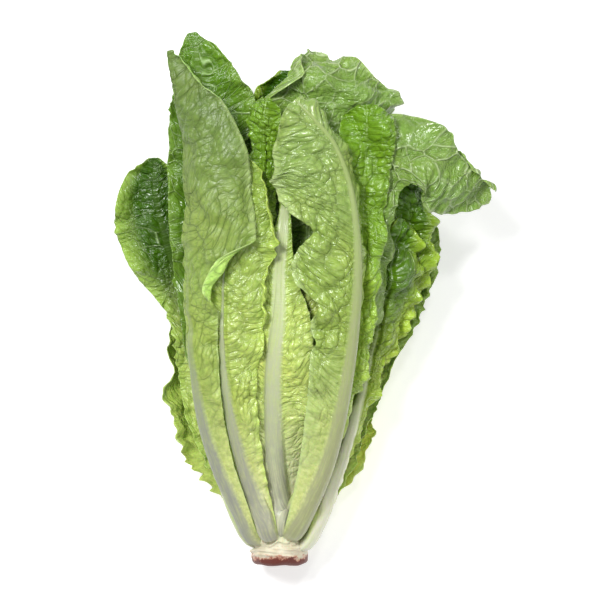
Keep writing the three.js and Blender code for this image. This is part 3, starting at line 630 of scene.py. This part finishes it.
pale_back = leaf_finish("leaf_pale_back", {
    "Foot": (0.62, 0.68, 0.27), "Middle": (0.3, 0.425, 0.085), "Tip": (0.125, 0.205, 0.038),
    "Inner face": (1.9, 2.05, 2.2), "Vein": (0.09, 0.17, 0.02), "Green from": 0.35, "Green to": 0.8,
    "Rib foot": (0.3, 0.31, 0.26), "Rib tip": (0.21, 0.25, 0.14), "Rib until": 0.55, "Vein strength": 0.65,
    "Vein rise": -0.5, "Matte": 0.15,
}, wax=0.0, bump=0.0007)
grow("leaf_left_tall", "top", pale_back, {
    "seed": 6, "rib": 6.2, "waves": 5, "ruffle": 3, "tooth": 0.7, "frill": 0.9, "puff": 0.8,
    "cell": (11.0, 12.0), "rib_until": 0.5, "fold": 0.1, "crumple": 1.7,
    "turned": ((1, 0.43, 0.57, 13.0, 1.6), (1, 0.74, 0.985, 3.4, 0.9)),
}, [
    [-16.2, 15, 33.6, 150, 5.4, 5.4, 20, 20], [-25, 34, 43, 144, 7, 8, 30, 30],
    [-38, 62, 54, 136, 7, 11, 30, 40], [-48, 94, 66, 136, 7, 15, 20, 50],
    [-54, 130, 77, 140, 7, 18, 20, 60], [-57, 168, 85, 144, 6, 23, 10, 70],
    [-58, 206, 90, 148, 5, 48, 0, 86], [-58.5, 244, 93, 146, 4, 47, 0, 84],
    [-60.5, 278, 95, 140, 3.5, 37, 0, 66], [-65, 304, 96, 132, 3, 20, 0, 40],
    [-67.5, 321, 95, 126, 2.5, 8, 0, 20], [-68.5, 327, 95, 125, 1.5, 2, 0, 20],
])

# ----------------
# The blistered leaf with the shining rib right of the middle, and the bright upright one beside it.
# Both show their backs. Their ribs swell to the width of a finger where they near the stem.
blistered = leaf_finish("leaf_blistered_back", {
    "Foot": (0.6, 0.68, 0.28), "Middle": (0.28, 0.415, 0.068), "Tip": (0.25, 0.375, 0.088),
    "Inner face": (0.45, 0.62, 0.35), "Vein": (0.1, 0.19, 0.02), "Green from": 0.35, "Green to": 0.85,
    "Rib foot": (0.36, 0.375, 0.2), "Rib tip": (0.32, 0.41, 0.135), "Vein strength": 0.35,
    "Vein rise": -0.35, "Margin from": 0.86, "Margin strength": 0.7,
}, bump=0.0014, wax=0.45)
bright = leaf_finish("leaf_bright", {
    "Foot": (0.5, 0.62, 0.16), "Middle": (0.33, 0.53, 0.055), "Tip": (0.15, 0.305, 0.013),
    "Green from": 0.3, "Green to": 0.7, "Inner face": (0.45, 0.6, 0.35), "Vein": (0.12, 0.24, 0.02),
    "Rib foot": (0.56, 0.58, 0.4), "Rib tip": (0.3, 0.42, 0.1), "Rib until": 0.5, "Vein strength": 0.45,
    "Vein rise": -0.4,
})
grow("leaf_middle_right", "top", blistered, {
    "seed": 7, "waves": 5, "puff": 1.9, "fold": 0.25, "tooth": 1.2, "frill": 1.5,
    "torn": ((-1, 0.587, 0.026, 8.0), (-1, 0.43, 0.022, 8.0), (-1, 0.36, 0.012, 4.0)), "cell": (12.0, 15.0),
}, [
    [7.5, 19, 42.8, 65, 5.8, 5.8, 20, 20], [15.5, 34, 51, 65, 10, 8, 30, 40],
    [28.5, 64, 65, 65, 17, 9, 30, 60], [37.5, 98, 79, 65, 22, 9, 30, 70],
    [43.5, 132, 89, 62, 26, 10, 36, 80], [47, 162, 97, 60, 30, 11, 44, 80],
    [48.5, 190, 103, 59, 44, 11, 58, 80], [47.5, 216, 107, 60, 36, 11, 52, 80],
    [43, 244, 111, 62, 47, 11, 54, 80], [34, 267, 115, 66, 46, 11, 50, 70],
    [22, 282, 117, 74, 36, 11, 40, 60], [13.5, 291, 117, 80, 22, 9, 30, 40],
    [10, 295, 116, 80, 5, 4, 10, 10],
])
grow("leaf_right_upright", "top", bright, {
    "seed": 12, "waves": 7, "ruffle": 3, "puff": 1.0, "frill": 2.4, "rib_until": 0.3, "sweep": 0.1,
    "crumple": 3.4,
}, [
    [9, 36, 40, 52, 6, 6, 20, 20], [24, 62, 54, 58, 9, 9, 20, 20], [37, 96, 68, 62, 11, 11, 20, 20],
    [46, 134, 82, 66, 12, 13, 20, 20], [51, 174, 92, 72, 12, 13, 20, 20], [53, 212, 95, 76, 13, 14, 20, 10],
    [54, 246, 97, 80, 16, 16, 20, 10], [55, 272, 99, 84, 19, 18, 10, 0], [55, 286, 99, 86, 16, 15, 0, 0],
    [55, 293, 98, 86, 6, 6, 0, 0],
])

# ----------------
# The young leaves in the middle of the head: yellow-green blades, deeply folded, on white ribs that
# are round like a stick. They have grown in the dark between the outer leaves.
young = leaf_finish("leaf_young", {
    "Foot": (0.95, 0.97, 0.66), "Middle": (0.5, 0.63, 0.155), "Tip": (0.33, 0.51, 0.08),
    "Inner face": (0.6, 0.72, 0.45), "Vein": (0.26, 0.4, 0.05), "Green from": 0.4, "Green to": 0.9,
    "Rib foot": (0.41, 0.42, 0.31), "Rib tip": (0.54, 0.61, 0.33), "Vein strength": 0.25, "Vein rise": -0.3,
}, bump=0.0013, wax=0.15)
sheltered = leaf_finish("leaf_sheltered", {
    "Foot": (0.68, 0.71, 0.33), "Middle": (0.41, 0.54, 0.115), "Tip": (0.25, 0.385, 0.06),
    "Inner face": (1.3, 1.25, 0.8), "Vein": (0.24, 0.37, 0.05), "Green from": 0.4, "Green to": 0.9,
    "Margin": (0.54, 0.72, 0.14), "Margin from": 0.72, "Margin strength": 0.8,
    "Rib foot": (0.34, 0.345, 0.275), "Rib tip": (0.42, 0.48, 0.26), "Vein strength": 0.25,
    "Vein rise": -0.3,
}, bump=0.0012)
grow("leaf_middle_left", "top", sheltered, {
    "seed": 8, "rib": 6.6, "waves": 7, "puff": 1.35, "fold": 0.4, "frill": 2.4, "tooth": 2.0,
    "rib_until": 0.6, "smooth_to": (0.1, 0.34), "turned": ((1, 0.5, 0.92, 7.0, 1.4),),
}, [
    [-7, 18.5, 43.4, 108, 5.8, 5.8, 20, 20], [-12, 35, 50, 106, 8.5, 8, 30, 20],
    [-21, 60, 60, 106, 9, 12, 30, 30], [-30, 93, 72, 103, 12, 18, 30, 32],
    [-35, 126, 82, 99, 16, 24, 30, 32], [-36, 160, 90, 98, 18, 30, 30, 28],
    [-34, 196, 95, 97, 18, 34, 30, 20], [-29, 228, 99, 96, 14, 30, 20, 10],
    [-24, 252, 100, 94, 7, 16, 10, 10], [-22, 260, 100, 94, 2, 3, 0, 0],
])
grow("leaf_middle", "top", young, {
    "seed": 13, "rib": 7.6, "deep": 7, "waves": 7, "ruffle": 3, "puff": 1.2, "fold": 1.1, "frill": 2.0,
    "taper": 0.5, "smooth_to": (0.12, 0.48), "dip": (0.5, 0.11), "foot": 1.6,
}, [
    [0.5, 22, 42, 91, 5.5, 6, 10, 10], [-0.5, 38, 46.5, 92, 10.5, 12.5, 20, 10],
    [-3, 62, 56, 95, 12, 20, 20, 0], [-4, 92, 69, 98, 14, 26, 20, -10], [-4, 126, 81, 98, 18, 28, 20, -10],
    [-1, 158, 88, 97, 16, 22, 20, 0], [0, 188, 90, 94, 12, 11, 20, 10], [2, 212, 91, 90, 7, 6, 20, 10],
    [3, 226, 88, 90, 4, 4, 20, 10], [3, 232, 85, 90, 3, 3, 10, 10],
])
grow("leaf_inner_curled", "top", bright, {
    "seed": 17, "rib": 4, "deep": 2.5, "waves": 8, "rows": 14, "puff": 1.4, "frill": 2.6, "tooth": 2.0,
    "rib_until": 0.1, "crumple": 2.8, "sweep": 0.1,
}, [
    [-4, 78, 50, 92, 4, 4, 20, 20], [-6, 108, 62, 94, 7, 7, 30, 20], [-8, 144, 73, 96, 9, 8, 40, 20],
    [-10, 182, 83, 98, 10, 9, 40, 20], [-11, 220, 91, 100, 10, 9, 50, 10],
    [-11, 250, 98, 100, 10, 10, 50, 0], [-10, 275, 102, 98, 11, 12, 40, -20],
    [-9, 290, 103, 96, 9, 10, 20, -20], [-8, 297, 101, 96, 3, 3, 0, 0],
])

# ----------------
# The wrapper leaves that fold over the top of the head. Their backs are a duller green with a net of
# pale raised veins, and their blades hang down over the leaves behind them.
netted = leaf_finish("leaf_netted_back", {
    "Foot": (0.42, 0.52, 0.18), "Middle": (0.215, 0.36, 0.055), "Tip": (0.185, 0.32, 0.052),
    "Inner face": (1.15, 1.15, 0.95), "Vein": (0.5, 0.62, 0.31), "Rib foot": (0.55, 0.58, 0.36),
    "Rib tip": (0.34, 0.45, 0.18), "Rib until": 0.55, "Vein strength": 0.8, "Vein width": 0.085,
    "Vein rise": 0.7,
})
grow("leaf_top_right", "top", netted, {
    "seed": 14, "deep": 4.5, "rib": 6.5, "puff": -1.3, "frill": 1.6, "crumple": 2.2, "rib_until": 0.3,
    "sweep": 0.2, "turned": ((-1, 0.66, 0.95, 6.0, 1.4),),
}, [
    [25, 80, 48, 62, 4.5, 4.5, 10, 10], [35, 102, 57, 62, 8, 8, 20, 20], [44, 126, 66, 62, 11, 11, 20, 30],
    [53, 158, 76, 66, 15, 14, 20, 40], [60, 194, 86, 70, 19, 14, 20, 40], [64, 230, 95, 76, 24, 12, 20, 20],
    [74, 252, 101, 82, 36, 14, 20, 10], [91, 258, 101, 88, 28, 20, 10, 10],
    [108, 253, 94, 86, 16, 31, 10, 20], [121, 244, 84, 84, 12, 27, 10, 20],
    [130, 237, 74, 82, 7, 13, 10, 10], [133, 234, 70, 82, 2, 3, 0, 0],
])
grow("heart_right", "top", young, {
    "seed": 19, "rib": 5, "deep": 2.5, "rows": 14, "frill": 2.4,
}, [
    [12, 91, 54, 80, 4, 4, 10, 10], [18, 110, 63, 80, 10, 7, 20, 20], [24, 132, 72, 80, 16, 11, 20, 30],
    [29, 156, 79, 80, 18, 13, 20, 30], [31, 182, 83, 80, 16, 13, 20, 30], [33, 205, 84, 80, 12, 10, 20, 24],
    [34, 222, 84, 82, 8, 7, 20, 20], [35, 232, 84, 84, 4, 4, 10, 10],
])
grow("leaf_top_middle", "top", netted, {
    "seed": 15, "deep": 4, "rib": 6.5, "ruffle": 6, "puff": -1.5, "frill": 1.8, "crumple": 3.4,
    "rib_until": 0.3, "sweep": 0.15, "fold": 0.3, "turned": ((-1, 0.58, 0.97, 20.0, 3.0),),
}, [
    [9, 86, 44, 88, 5, 5, 20, 20], [11, 106, 50, 88, 12, 12, 30, 30], [14, 132, 58, 88, 18, 18, 40, 40],
    [16, 160, 66, 88, 26, 28, 45, 45], [18, 200, 68, 88, 32, 36, 45, 45], [20, 238, 74, 86, 40, 44, 40, 40],
    [21, 270, 88, 86, 48, 57, 30, 40], [22, 296, 98, 90, 46, 58, 20, 35], [22, 313, 96, 92, 30, 42, 20, 25],
    [22, 324, 86, 92, 10, 17, 10, 15], [22, 328, 80, 92, 4, 5, 10, 10],
])

# ----------------
# The leaves down the right side and behind the tall one on the left. They are crumpled against each
# other, with frilled and toothed margins that stand out past the leaves above them.
side_colours = {
    "Foot": (0.64, 0.72, 0.26), "Middle": (0.45, 0.62, 0.075), "Tip": (0.07, 0.17, 0.003),
    "Green from": 0.3, "Green to": 0.75, "Inner face": (0.5, 0.62, 0.4), "Vein": (0.36, 0.52, 0.16),
    "Rib foot": (0.55, 0.56, 0.4), "Rib tip": (0.34, 0.46, 0.14), "Rib until": 0.6, "Vein strength": 0.5,
    "Margin": (0.48, 0.68, 0.06), "Margin from": 0.55, "Margin strength": 0.65,
}
side_green = leaf_finish("leaf_side_green", side_colours, wax=0.12)
white_ribbed = leaf_finish("leaf_white_ribbed", {
    **side_colours, "Rib foot": (0.8, 0.8, 0.64), "Rib tip": (0.84, 0.85, 0.66), "Rib until": 0.58,
})
grow("leaf_right_low", "top", white_ribbed, {
    "seed": 9, "rib": 8, "waves": 7, "ruffle": 5, "puff": 1.8, "frill": 3.2, "tooth": 4.0, "lobes": 3.0,
    "crumple": 3.6, "rib_until": 0.6,
}, [
    [15.2, 11, 32.4, 25, 5.6, 5.6, 20, 20], [26.5, 34, 40, 28, 7.5, 7, 10, 10],
    [38, 62, 47, 34, 11, 9, 10, 0], [48, 92, 55, 44, 14, 11, 10, 0], [55, 120, 61, 52, 18, 13, 10, 0],
    [61, 148, 67, 58, 20, 19, 10, 0], [68, 174, 72, 62, 20, 24, 10, 10], [73, 200, 76, 66, 17, 20, 10, 10],
    [76, 216, 77, 68, 9, 12, 0, 0], [77, 222, 77, 68, 3, 3, 0, 0],
])
grow("leaf_right_hanging", "top", side_green, {
    "seed": 11, "ruffle": 6, "puff": 2.0, "frill": 3.4, "tooth": 3.6, "lobes": 3.0, "crumple": 4.2,
    "rib_until": 0.5,
}, [
    [12.5, 38, 34.5, 4, 6, 6, 10, 10], [30, 66, 42, 24, 10, 10, 10, 10], [48, 104, 50, 44, 14, 12, 10, 0],
    [62, 144, 57, 56, 18, 18, 10, 0], [74, 180, 64, 62, 22, 24, 10, 0], [82, 206, 69, 66, 22, 20, 10, 0],
    [84, 230, 74, 68, 18, 14, 0, 0], [83, 250, 78, 70, 12, 9, 0, 0], [82, 258, 79, 70, 3, 3, 0, 0],
])
dark_face = leaf_finish("leaf_dark_face", {
    "Foot": (0.4, 0.52, 0.15), "Middle": (0.09, 0.19, 0.012), "Tip": (0.095, 0.215, 0.01),
    "Margin": (0.32, 0.5, 0.07), "Margin from": 0.6, "Margin strength": 0.3, "Rib until": 0.45,
    "Vein": (0.38, 0.55, 0.22), "Vein strength": 0.7, "Vein width": 0.055,
}, bump=0.0013)
grow("leaf_left_upper", "top", dark_face, {
    "seed": 10, "ruffle": 3, "puff": -1.2, "frill": 1.4, "tooth": 2.4,
}, [
    [-12, 38, 34, 200, 6, 6, 10, 10], [-25, 70, 42, 230, 11, 11, 10, 10],
    [-36, 110, 50, 252, 18, 18, 10, 10], [-43, 160, 58, 262, 24, 22, 10, 10],
    [-47, 210, 66, 266, 29, 24, 10, 10], [-49, 255, 74, 268, 33, 22, 20, 10],
    [-50, 292, 81, 268, 36, 21, 30, 20], [-52, 321, 87, 268, 20, 14, 20, 20],
    [-54, 334, 88, 268, 8, 7, 10, 10], [-55, 339, 88, 268, 3, 3, 10, 10],
])

# ----------------
# The wrapper leaves that the head lies on, pressed flat by its weight, and the two that spread out
# to the sides. They are the oldest leaves and the lowest ones of the stem, with margins gone yellow.
pale_colours = {
    "Foot": (0.58, 0.66, 0.22), "Middle": (0.46, 0.6, 0.115), "Tip": (0.13, 0.27, 0.015),
    "Green from": 0.42, "Green to": 0.62, "Vein": (0.5, 0.62, 0.25), "Rib foot": (0.62, 0.63, 0.46),
    "Rib tip": (0.42, 0.53, 0.22), "Vein strength": 0.4,
}
pale_margin = leaf_finish("leaf_pale_margin", pale_colours, wax=0.12)
flat_lying = {"rib": 9, "waves": 7, "frill": 2.0, "tooth": 7.0, "lobes": 4.0}
grow("leaf_back_left", "floor", pale_margin, {**flat_lying, "seed": 2}, [
    [-11.5, 13, 13.5, 226, 5.4, 5.4, 10, 10], [-21, 36, 11.5, 240, 8, 15, 20, 10],
    [-31, 70, 7.5, 252, 16, 37, 20, 30], [-37, 104, 4.8, 256, 24, 46, 16, 50],
    [-41, 146, 3.5, 260, 30, 46, 16, 68], [-44, 190, 2.8, 262, 32, 44, 16, 68],
    [-48, 226, 6, 262, 28, 36, 16, 56], [-54, 254, 13, 262, 16, 18, 10, 20],
    [-57, 266, 18, 260, 4, 4, 10, 10],
])
yellow_margin = leaf_finish("leaf_yellow_margin", {
    **pale_colours, "Foot": (0.74, 0.8, 0.26), "Middle": (0.64, 0.78, 0.13), "Tip": (0.22, 0.4, 0.02),
}, wax=0.12)
grow("leaf_back_right", "floor", yellow_margin, {**flat_lying, "seed": 3}, [
    [9.5, 13, 11.5, 304, 5.4, 5.4, 10, 10], [20, 36, 10.5, 294, 12, 8, 10, 20],
    [32, 70, 7.5, 288, 28, 16, 30, 20], [40, 106, 4.8, 284, 31, 24, 50, 16],
    [48, 148, 3.5, 280, 38, 30, 68, 16], [55, 190, 2.8, 278, 42, 32, 68, 16],
    [62, 222, 6, 278, 34, 28, 56, 16], [68, 246, 13, 278, 16, 16, 20, 10], [71, 257, 18, 280, 4, 4, 10, 10],
])
grow("leaf_back_middle", "bottom", side_green, {"seed": 1, "rib": 11, "pitch": (1.8, 2.2)}, [
    [-1, 13, 8.5, 265, 6, 6, 20, 20], [0, 40, 8, 268, 11, 11, 20, 20], [2, 88, 6, 270, 22, 22, 24, 24],
    [5, 138, 4.4, 270, 34, 34, 30, 30], [7, 188, 3.4, 270, 42, 42, 40, 40],
    [9, 232, 7, 270, 42, 42, 44, 44], [10, 268, 17, 268, 30, 30, 40, 40],
    [10, 290, 27, 266, 14, 14, 20, 20], [10, 298, 32, 266, 4, 4, 10, 10],
])
spread_face = leaf_finish("leaf_spread_face", {
    "Foot": (0.64, 0.72, 0.3), "Middle": (0.54, 0.68, 0.18), "Tip": (0.045, 0.12, 0.004),
    "Margin": (0.42, 0.62, 0.1), "Margin from": 0.5, "Margin strength": 0.8, "Green from": 0.36,
    "Green to": 0.62, "Rib until": 0.6, "Vein": (0.36, 0.52, 0.2), "Vein width": 0.055,
}, wax=0.12)
spreading = {"rib": 8, "ruffle": 6, "puff": -1.5, "frill": 2.2, "tooth": 3.8}
grow("leaf_left_spread", "bottom", spread_face, {**spreading, "seed": 4}, [
    [-17, 13, 25, 182, 5, 5, 10, 10], [-28.5, 36, 29, 200, 7.5, 7.5, 10, 0],
    [-38, 66, 32, 226, 14, 13, 10, -10], [-45, 98, 36, 240, 18, 17, 10, -10],
    [-51, 134, 40, 248, 22, 18, 10, -10], [-58, 168, 44, 252, 26, 18, 10, -10],
    [-69, 196, 49, 254, 30, 26, 10, -16], [-76, 220, 53, 256, 31, 31, 10, -16],
    [-80, 242, 58, 260, 24, 26, 0, -10], [-80, 257, 61, 264, 9, 12, 0, 0], [-80, 261, 62, 264, 3, 4, 0, 0],
])
grow("leaf_right_spread", "bottom", spread_face, {**spreading, "seed": 5}, [
    [16.8, 13, 23.5, 350, 5, 5, 10, 10], [28, 36, 26, 334, 7.5, 7.5, 0, 10],
    [40, 68, 28, 312, 12, 12, -10, 10], [51, 102, 30, 298, 14, 18, 10, 10],
    [61, 136, 33, 290, 16, 24, 10, 10], [72, 168, 35, 286, 22, 28, 0, 10],
    [81, 196, 38, 284, 24, 28, -16, 10], [87, 216, 42, 282, 17, 18, -10, 10],
    [90, 228, 45, 278, 4, 5, 0, 0],
])

# ----------------
# The inner leaves and the heart, which fill the head. They grow close on each other, paler the
# nearer they are to the middle, and show only in the hollows between the outer leaves.
for name, seed, stations in (("leaf_lower_left", 20, [
    [-10, 46, 25, 216, 5, 5, 10, 10], [-19, 74, 26, 236, 11, 12, 20, 20], [-26, 110, 28, 248, 20, 20, 30, 30],
    [-30, 150, 31, 254, 26, 26, 34, 34], [-33, 190, 36, 256, 30, 30, 34, 34],
    [-36, 228, 43, 258, 28, 28, 30, 30], [-40, 262, 52, 260, 20, 20, 20, 20],
    [-42, 284, 59, 262, 5, 5, 10, 10],
]), ("leaf_lower_right", 21, [
    [11, 46, 23, 324, 5, 5, 10, 10], [21, 74, 24, 304, 12, 11, 20, 20], [31, 110, 26, 292, 20, 20, 30, 30],
    [39, 150, 29, 286, 26, 26, 34, 34], [46, 190, 34, 284, 30, 30, 34, 34],
    [52, 226, 41, 282, 27, 27, 30, 30], [58, 256, 50, 280, 18, 18, 20, 20], [61, 274, 57, 278, 5, 5, 10, 10],
])):
    grow(name, "bottom", young, {
        "seed": seed, "ruffle": 6, "rows": 14, "pitch": (2.0, 2.3),
    }, stations)
grow("leaf_top_back", "bottom", side_green, {
    "seed": 16, "ruffle": 5, "rows": 14, "pitch": (2.0, 2.3),
}, [
    [3, 74, 28, 272, 5, 5, 20, 20], [5, 98, 28, 272, 12, 12, 30, 30], [7, 128, 31, 272, 22, 22, 40, 40],
    [8, 162, 36, 272, 30, 30, 44, 44], [8, 202, 42, 272, 36, 36, 44, 44], [7, 240, 50, 272, 40, 40, 40, 40],
    [6, 275, 60, 270, 38, 40, 36, 36], [6, 302, 68, 268, 26, 28, 30, 30], [6, 316, 72, 266, 6, 6, 10, 10],
])
grow("heart_left", "between", young, {
    "seed": 18, "rib": 4, "deep": 2.5, "rows": 14, "pitch": (1.6, 1.8),
}, [
    [-8, 98, 41, 100, 4.5, 4.5, 10, 10], [-8, 117, 48, 100, 11, 12, 30, 30],
    [-6, 140, 58, 100, 18, 19, 40, 40], [-6, 170, 64, 98, 20, 21, 44, 44],
    [-6, 200, 69, 96, 20, 21, 44, 44], [-6, 230, 75, 96, 18, 19, 40, 40], [-6, 255, 80, 96, 13, 14, 30, 30],
    [-6, 275, 83, 96, 4, 4, 10, 10],
])

# ----------------
# The stem, cut across with a knife. It is cream, ringed by the scars and torn feet of leaves that
# were taken off, and its cut end has dried to a red brown.
STEM_PROFILE = np.array([  # mm along the stem from its cut end, and its radius there
    (-1.7, 0.01), (-1.6, 9), (-1.3, 15.6), (-0.6, 17.4), (0.8, 18.5), (3.4, 18.9), (5, 19.1), (7.4, 18.9),
    (9.6, 18.5), (11.4, 17.7), (13, 17.0), (16, 16.8), (19, 16.4), (22, 14.6), (25, 13.2), (30, 12.2),
    (34, 10.0), (42, 7.5), (50, 3), (50.4, 0.01),
])
RINGS, SIDES, SCARS = 150, 220, 11
long_way = np.concatenate([[0], np.cumsum(np.hypot(*np.diff(STEM_PROFILE, axis=0).T))])
level, radius = (np.interp(np.linspace(0, 1, RINGS), long_way / long_way[-1], v)[:, None]
                 for v in STEM_PROFILE.T)
angle = np.linspace(0, 2 * math.pi, SIDES, endpoint=False)[None, :]
scars = np.zeros((RINGS, SIDES))
draw = np.random.default_rng(40)
for _ in range(SCARS):  # the scar of a leaf: a crescent that wraps part of the stem, with a raised lip
    around_at, level_at = draw.uniform(0, 2 * math.pi), draw.uniform(2.5, 12)
    apart = np.abs((angle - around_at + math.pi) % (2 * math.pi) - math.pi)
    line = level - level_at - 1.6 * np.cos(apart * 1.5)
    scars += np.exp(-(line / 0.7) ** 2) * ease(1.3, 0.8, apart) * draw.uniform(0.35, 0.9)
    scars -= np.exp(-((line - 1.3) / 0.9) ** 2) * ease(1.3, 0.8, apart) * 0.4
uneven = (0.03 * np.sin(3 * angle + level / 6) + 0.018 * np.sin(7 * angle + level / 3)
          + 0.012 * np.sin(13 * angle - level / 2))
lip = level - 13.2 - 1.4 * np.sin(5 * angle + 0.6) - 0.8 * np.sin(11 * angle + 2)  # torn feet of lost leaves
scars += 1.1 * np.exp(-(np.maximum(lip, 0) / 1.6) ** 2 - (np.minimum(lip, 0) / 0.5) ** 2)
torn = sum(draw.uniform(0.2, 0.5) * np.sin(w * angle + draw.uniform(0, 6) + level * draw.uniform(0.1, 0.5))
           for w in (9, 14, 19, 27)) * ease(10, 15, level) * ease(30, 20, level)
wide = radius * (0.965 - uneven * 0.5) + scars * ease(4, 14, radius) + torn
stump = np.stack([STEM_AXIS[0] + wide * np.cos(angle), level + 0 * angle,
                  STEM_AXIS[1] + STEM_RISE * level + wide * np.sin(angle)], -1)
stump[..., 1] += 0.35 * np.sin(5 * angle + 1) * ease(3, 0, level) * ease(0, 12, radius)
spot = np.arange(RINGS * SIDES).reshape(RINGS, SIDES)
after = np.roll(spot, -1, 1)
faces = np.stack([after[:-1], after[1:], spot[1:], spot[:-1]], -1).reshape(-1, 4)
stem_mesh = bpy.data.meshes.new("stem_stump")
stem_mesh.from_pydata(((stump.reshape(-1, 3) - HEAD_MIDDLE) / 1000).tolist(), [],
                      faces.tolist() + [spot[0].tolist(), spot[-1][::-1].tolist()])
stem_mesh.shade_smooth()
set_down(stem_mesh, "stem_place", (level + 0 * angle, wide, scars))

flesh, tree, gloss = new_finish("stem_flesh")
_, (from_cut, from_axis, _) = stored_at(tree, "stem_place")
body = put(tree, "ShaderNodeTexCoord").outputs["Object"]
mottle, fine = clouds(body, 130.0, 5.0), clouds(body, 700.0, 3.0)
cream = mixed(fade(mottle, 0.35, 0.7), (0.76, 0.71, 0.56, 1), (0.64, 0.57, 0.41, 1))
cream = mixed(fade(from_cut, 8.0, 20.0), cream, (0.7, 0.73, 0.46, 1))
dried = times(fade(from_cut, 9.0, -0.5, 0.0, 0.46), 1.0, clouds(body, 210.0, 6.0, Roughness=0.65))
cream = mixed(fade(dried, 0.62, 0.8), cream, (0.52, 0.22, 0.14, 1))
cream = mixed(fade(dried, 0.74, 0.84), cream, (0.15, 0.032, 0.02, 1))
flecks = times(fade(fine, 0.6, 0.7), fade(from_cut, 9.0, 13.0, 0.0, 0.6))
cream = mixed(flecks, cream, (0.45, 0.2, 0.12, 1))
pith = mixed(fade(mottle, 0.4, 0.6), (0.62, 0.44, 0.27, 1), (0.42, 0.22, 0.13, 1))
cut_face = mixed(fade(from_axis, 13.5, 10.5), (0.24, 0.07, 0.045, 1), pith)
fill(gloss, {
    "Base Color": mixed(fade(from_cut, -0.8, -1.25), cream, cut_face), "Roughness": 0.55,
    "Normal": put(tree, "ShaderNodeBump", {"Height": fine, "Distance": 0.0006, "Strength": 0.7}).outputs[0],
    "Subsurface Weight": 0.15, "Subsurface Scale": 0.003,
})
stem_piece = stand("stem_stump", stem_mesh, flesh)
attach(stem_piece, "root")
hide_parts("stem")

# ----------------
# The table under the head, the camera over it and the soft lamps.
# A white sheet lies flat, and daylight comes through a wide diffuser at the upper left.
table = bpy.data.meshes.new("table")
table.from_pydata([(-3, -3, 0), (3, -3, 0), (3, 3, 0), (-3, 3, 0)], [], [(0, 1, 2, 3)])
paper, tree, sheen = new_finish("white_paper")
fibres = put(tree, "ShaderNodeTexNoise", {"Scale": 300.0, "Detail": 3.0})
tint = put(tree, "ShaderNodeValToRGB", {"Fac": fibres.outputs[0]})
tint.color_ramp.elements[0].color = (0.73, 0.73, 0.73, 1)
tint.color_ramp.elements[1].color = (0.76, 0.76, 0.76, 1)
fill(sheen, {
    "Base Color": tint.outputs[0], "Roughness": 0.9, "Specular IOR Level": 0.1,
    "Emission Color": (1, 1, 1, 1), "Emission Strength": 0.5,  # a light table shines through the sheet
})
floor = stand("table", table, paper)

VIEW_HEIGHT, SHARP_AT, PICTURE_WIDTH = 2.2, 0.055, 0.384  # m
camera = bpy.data.objects.new("camera", bpy.data.cameras.new("camera"))
bpy.context.scene.collection.objects.link(camera)
camera.location = (-0.00116, 0.00075, VIEW_HEIGHT)
camera.data.sensor_width = 36
camera.data.lens = 36 * (VIEW_HEIGHT - SHARP_AT) / PICTURE_WIDTH
bpy.context.scene.camera = camera

daylight = bpy.data.worlds.new("daylight")
daylight.use_nodes = True
fill(daylight.node_tree.nodes["Background"], {"Color": (1, 1, 1, 1), "Strength": 0.34})
bpy.context.scene.world = daylight
for label, spot, size, power in (  # m, m and W
        ("window", (-0.52, 0.5, 1.45), 0.4, 21.0), ("fill", (0.9, -0.4, 1.3), 1.0, 4.5),
        ("lantern", (0.25, 0.75, 1.45), 0.14, 4.5)):
    lamp = bpy.data.lights.new(label, "AREA")
    lamp.size, lamp.energy = size, power
    hung = bpy.data.objects.new(label, lamp)
    hung.location = spot
    x, y, z = spot  # turned to shine at the middle of the head
    hung.rotation_euler = (math.atan2(math.hypot(x, y), z), 0, math.atan2(x, -y))
    bpy.context.scene.collection.objects.link(hung)
bpy.context.scene.view_settings.view_transform = "Standard"
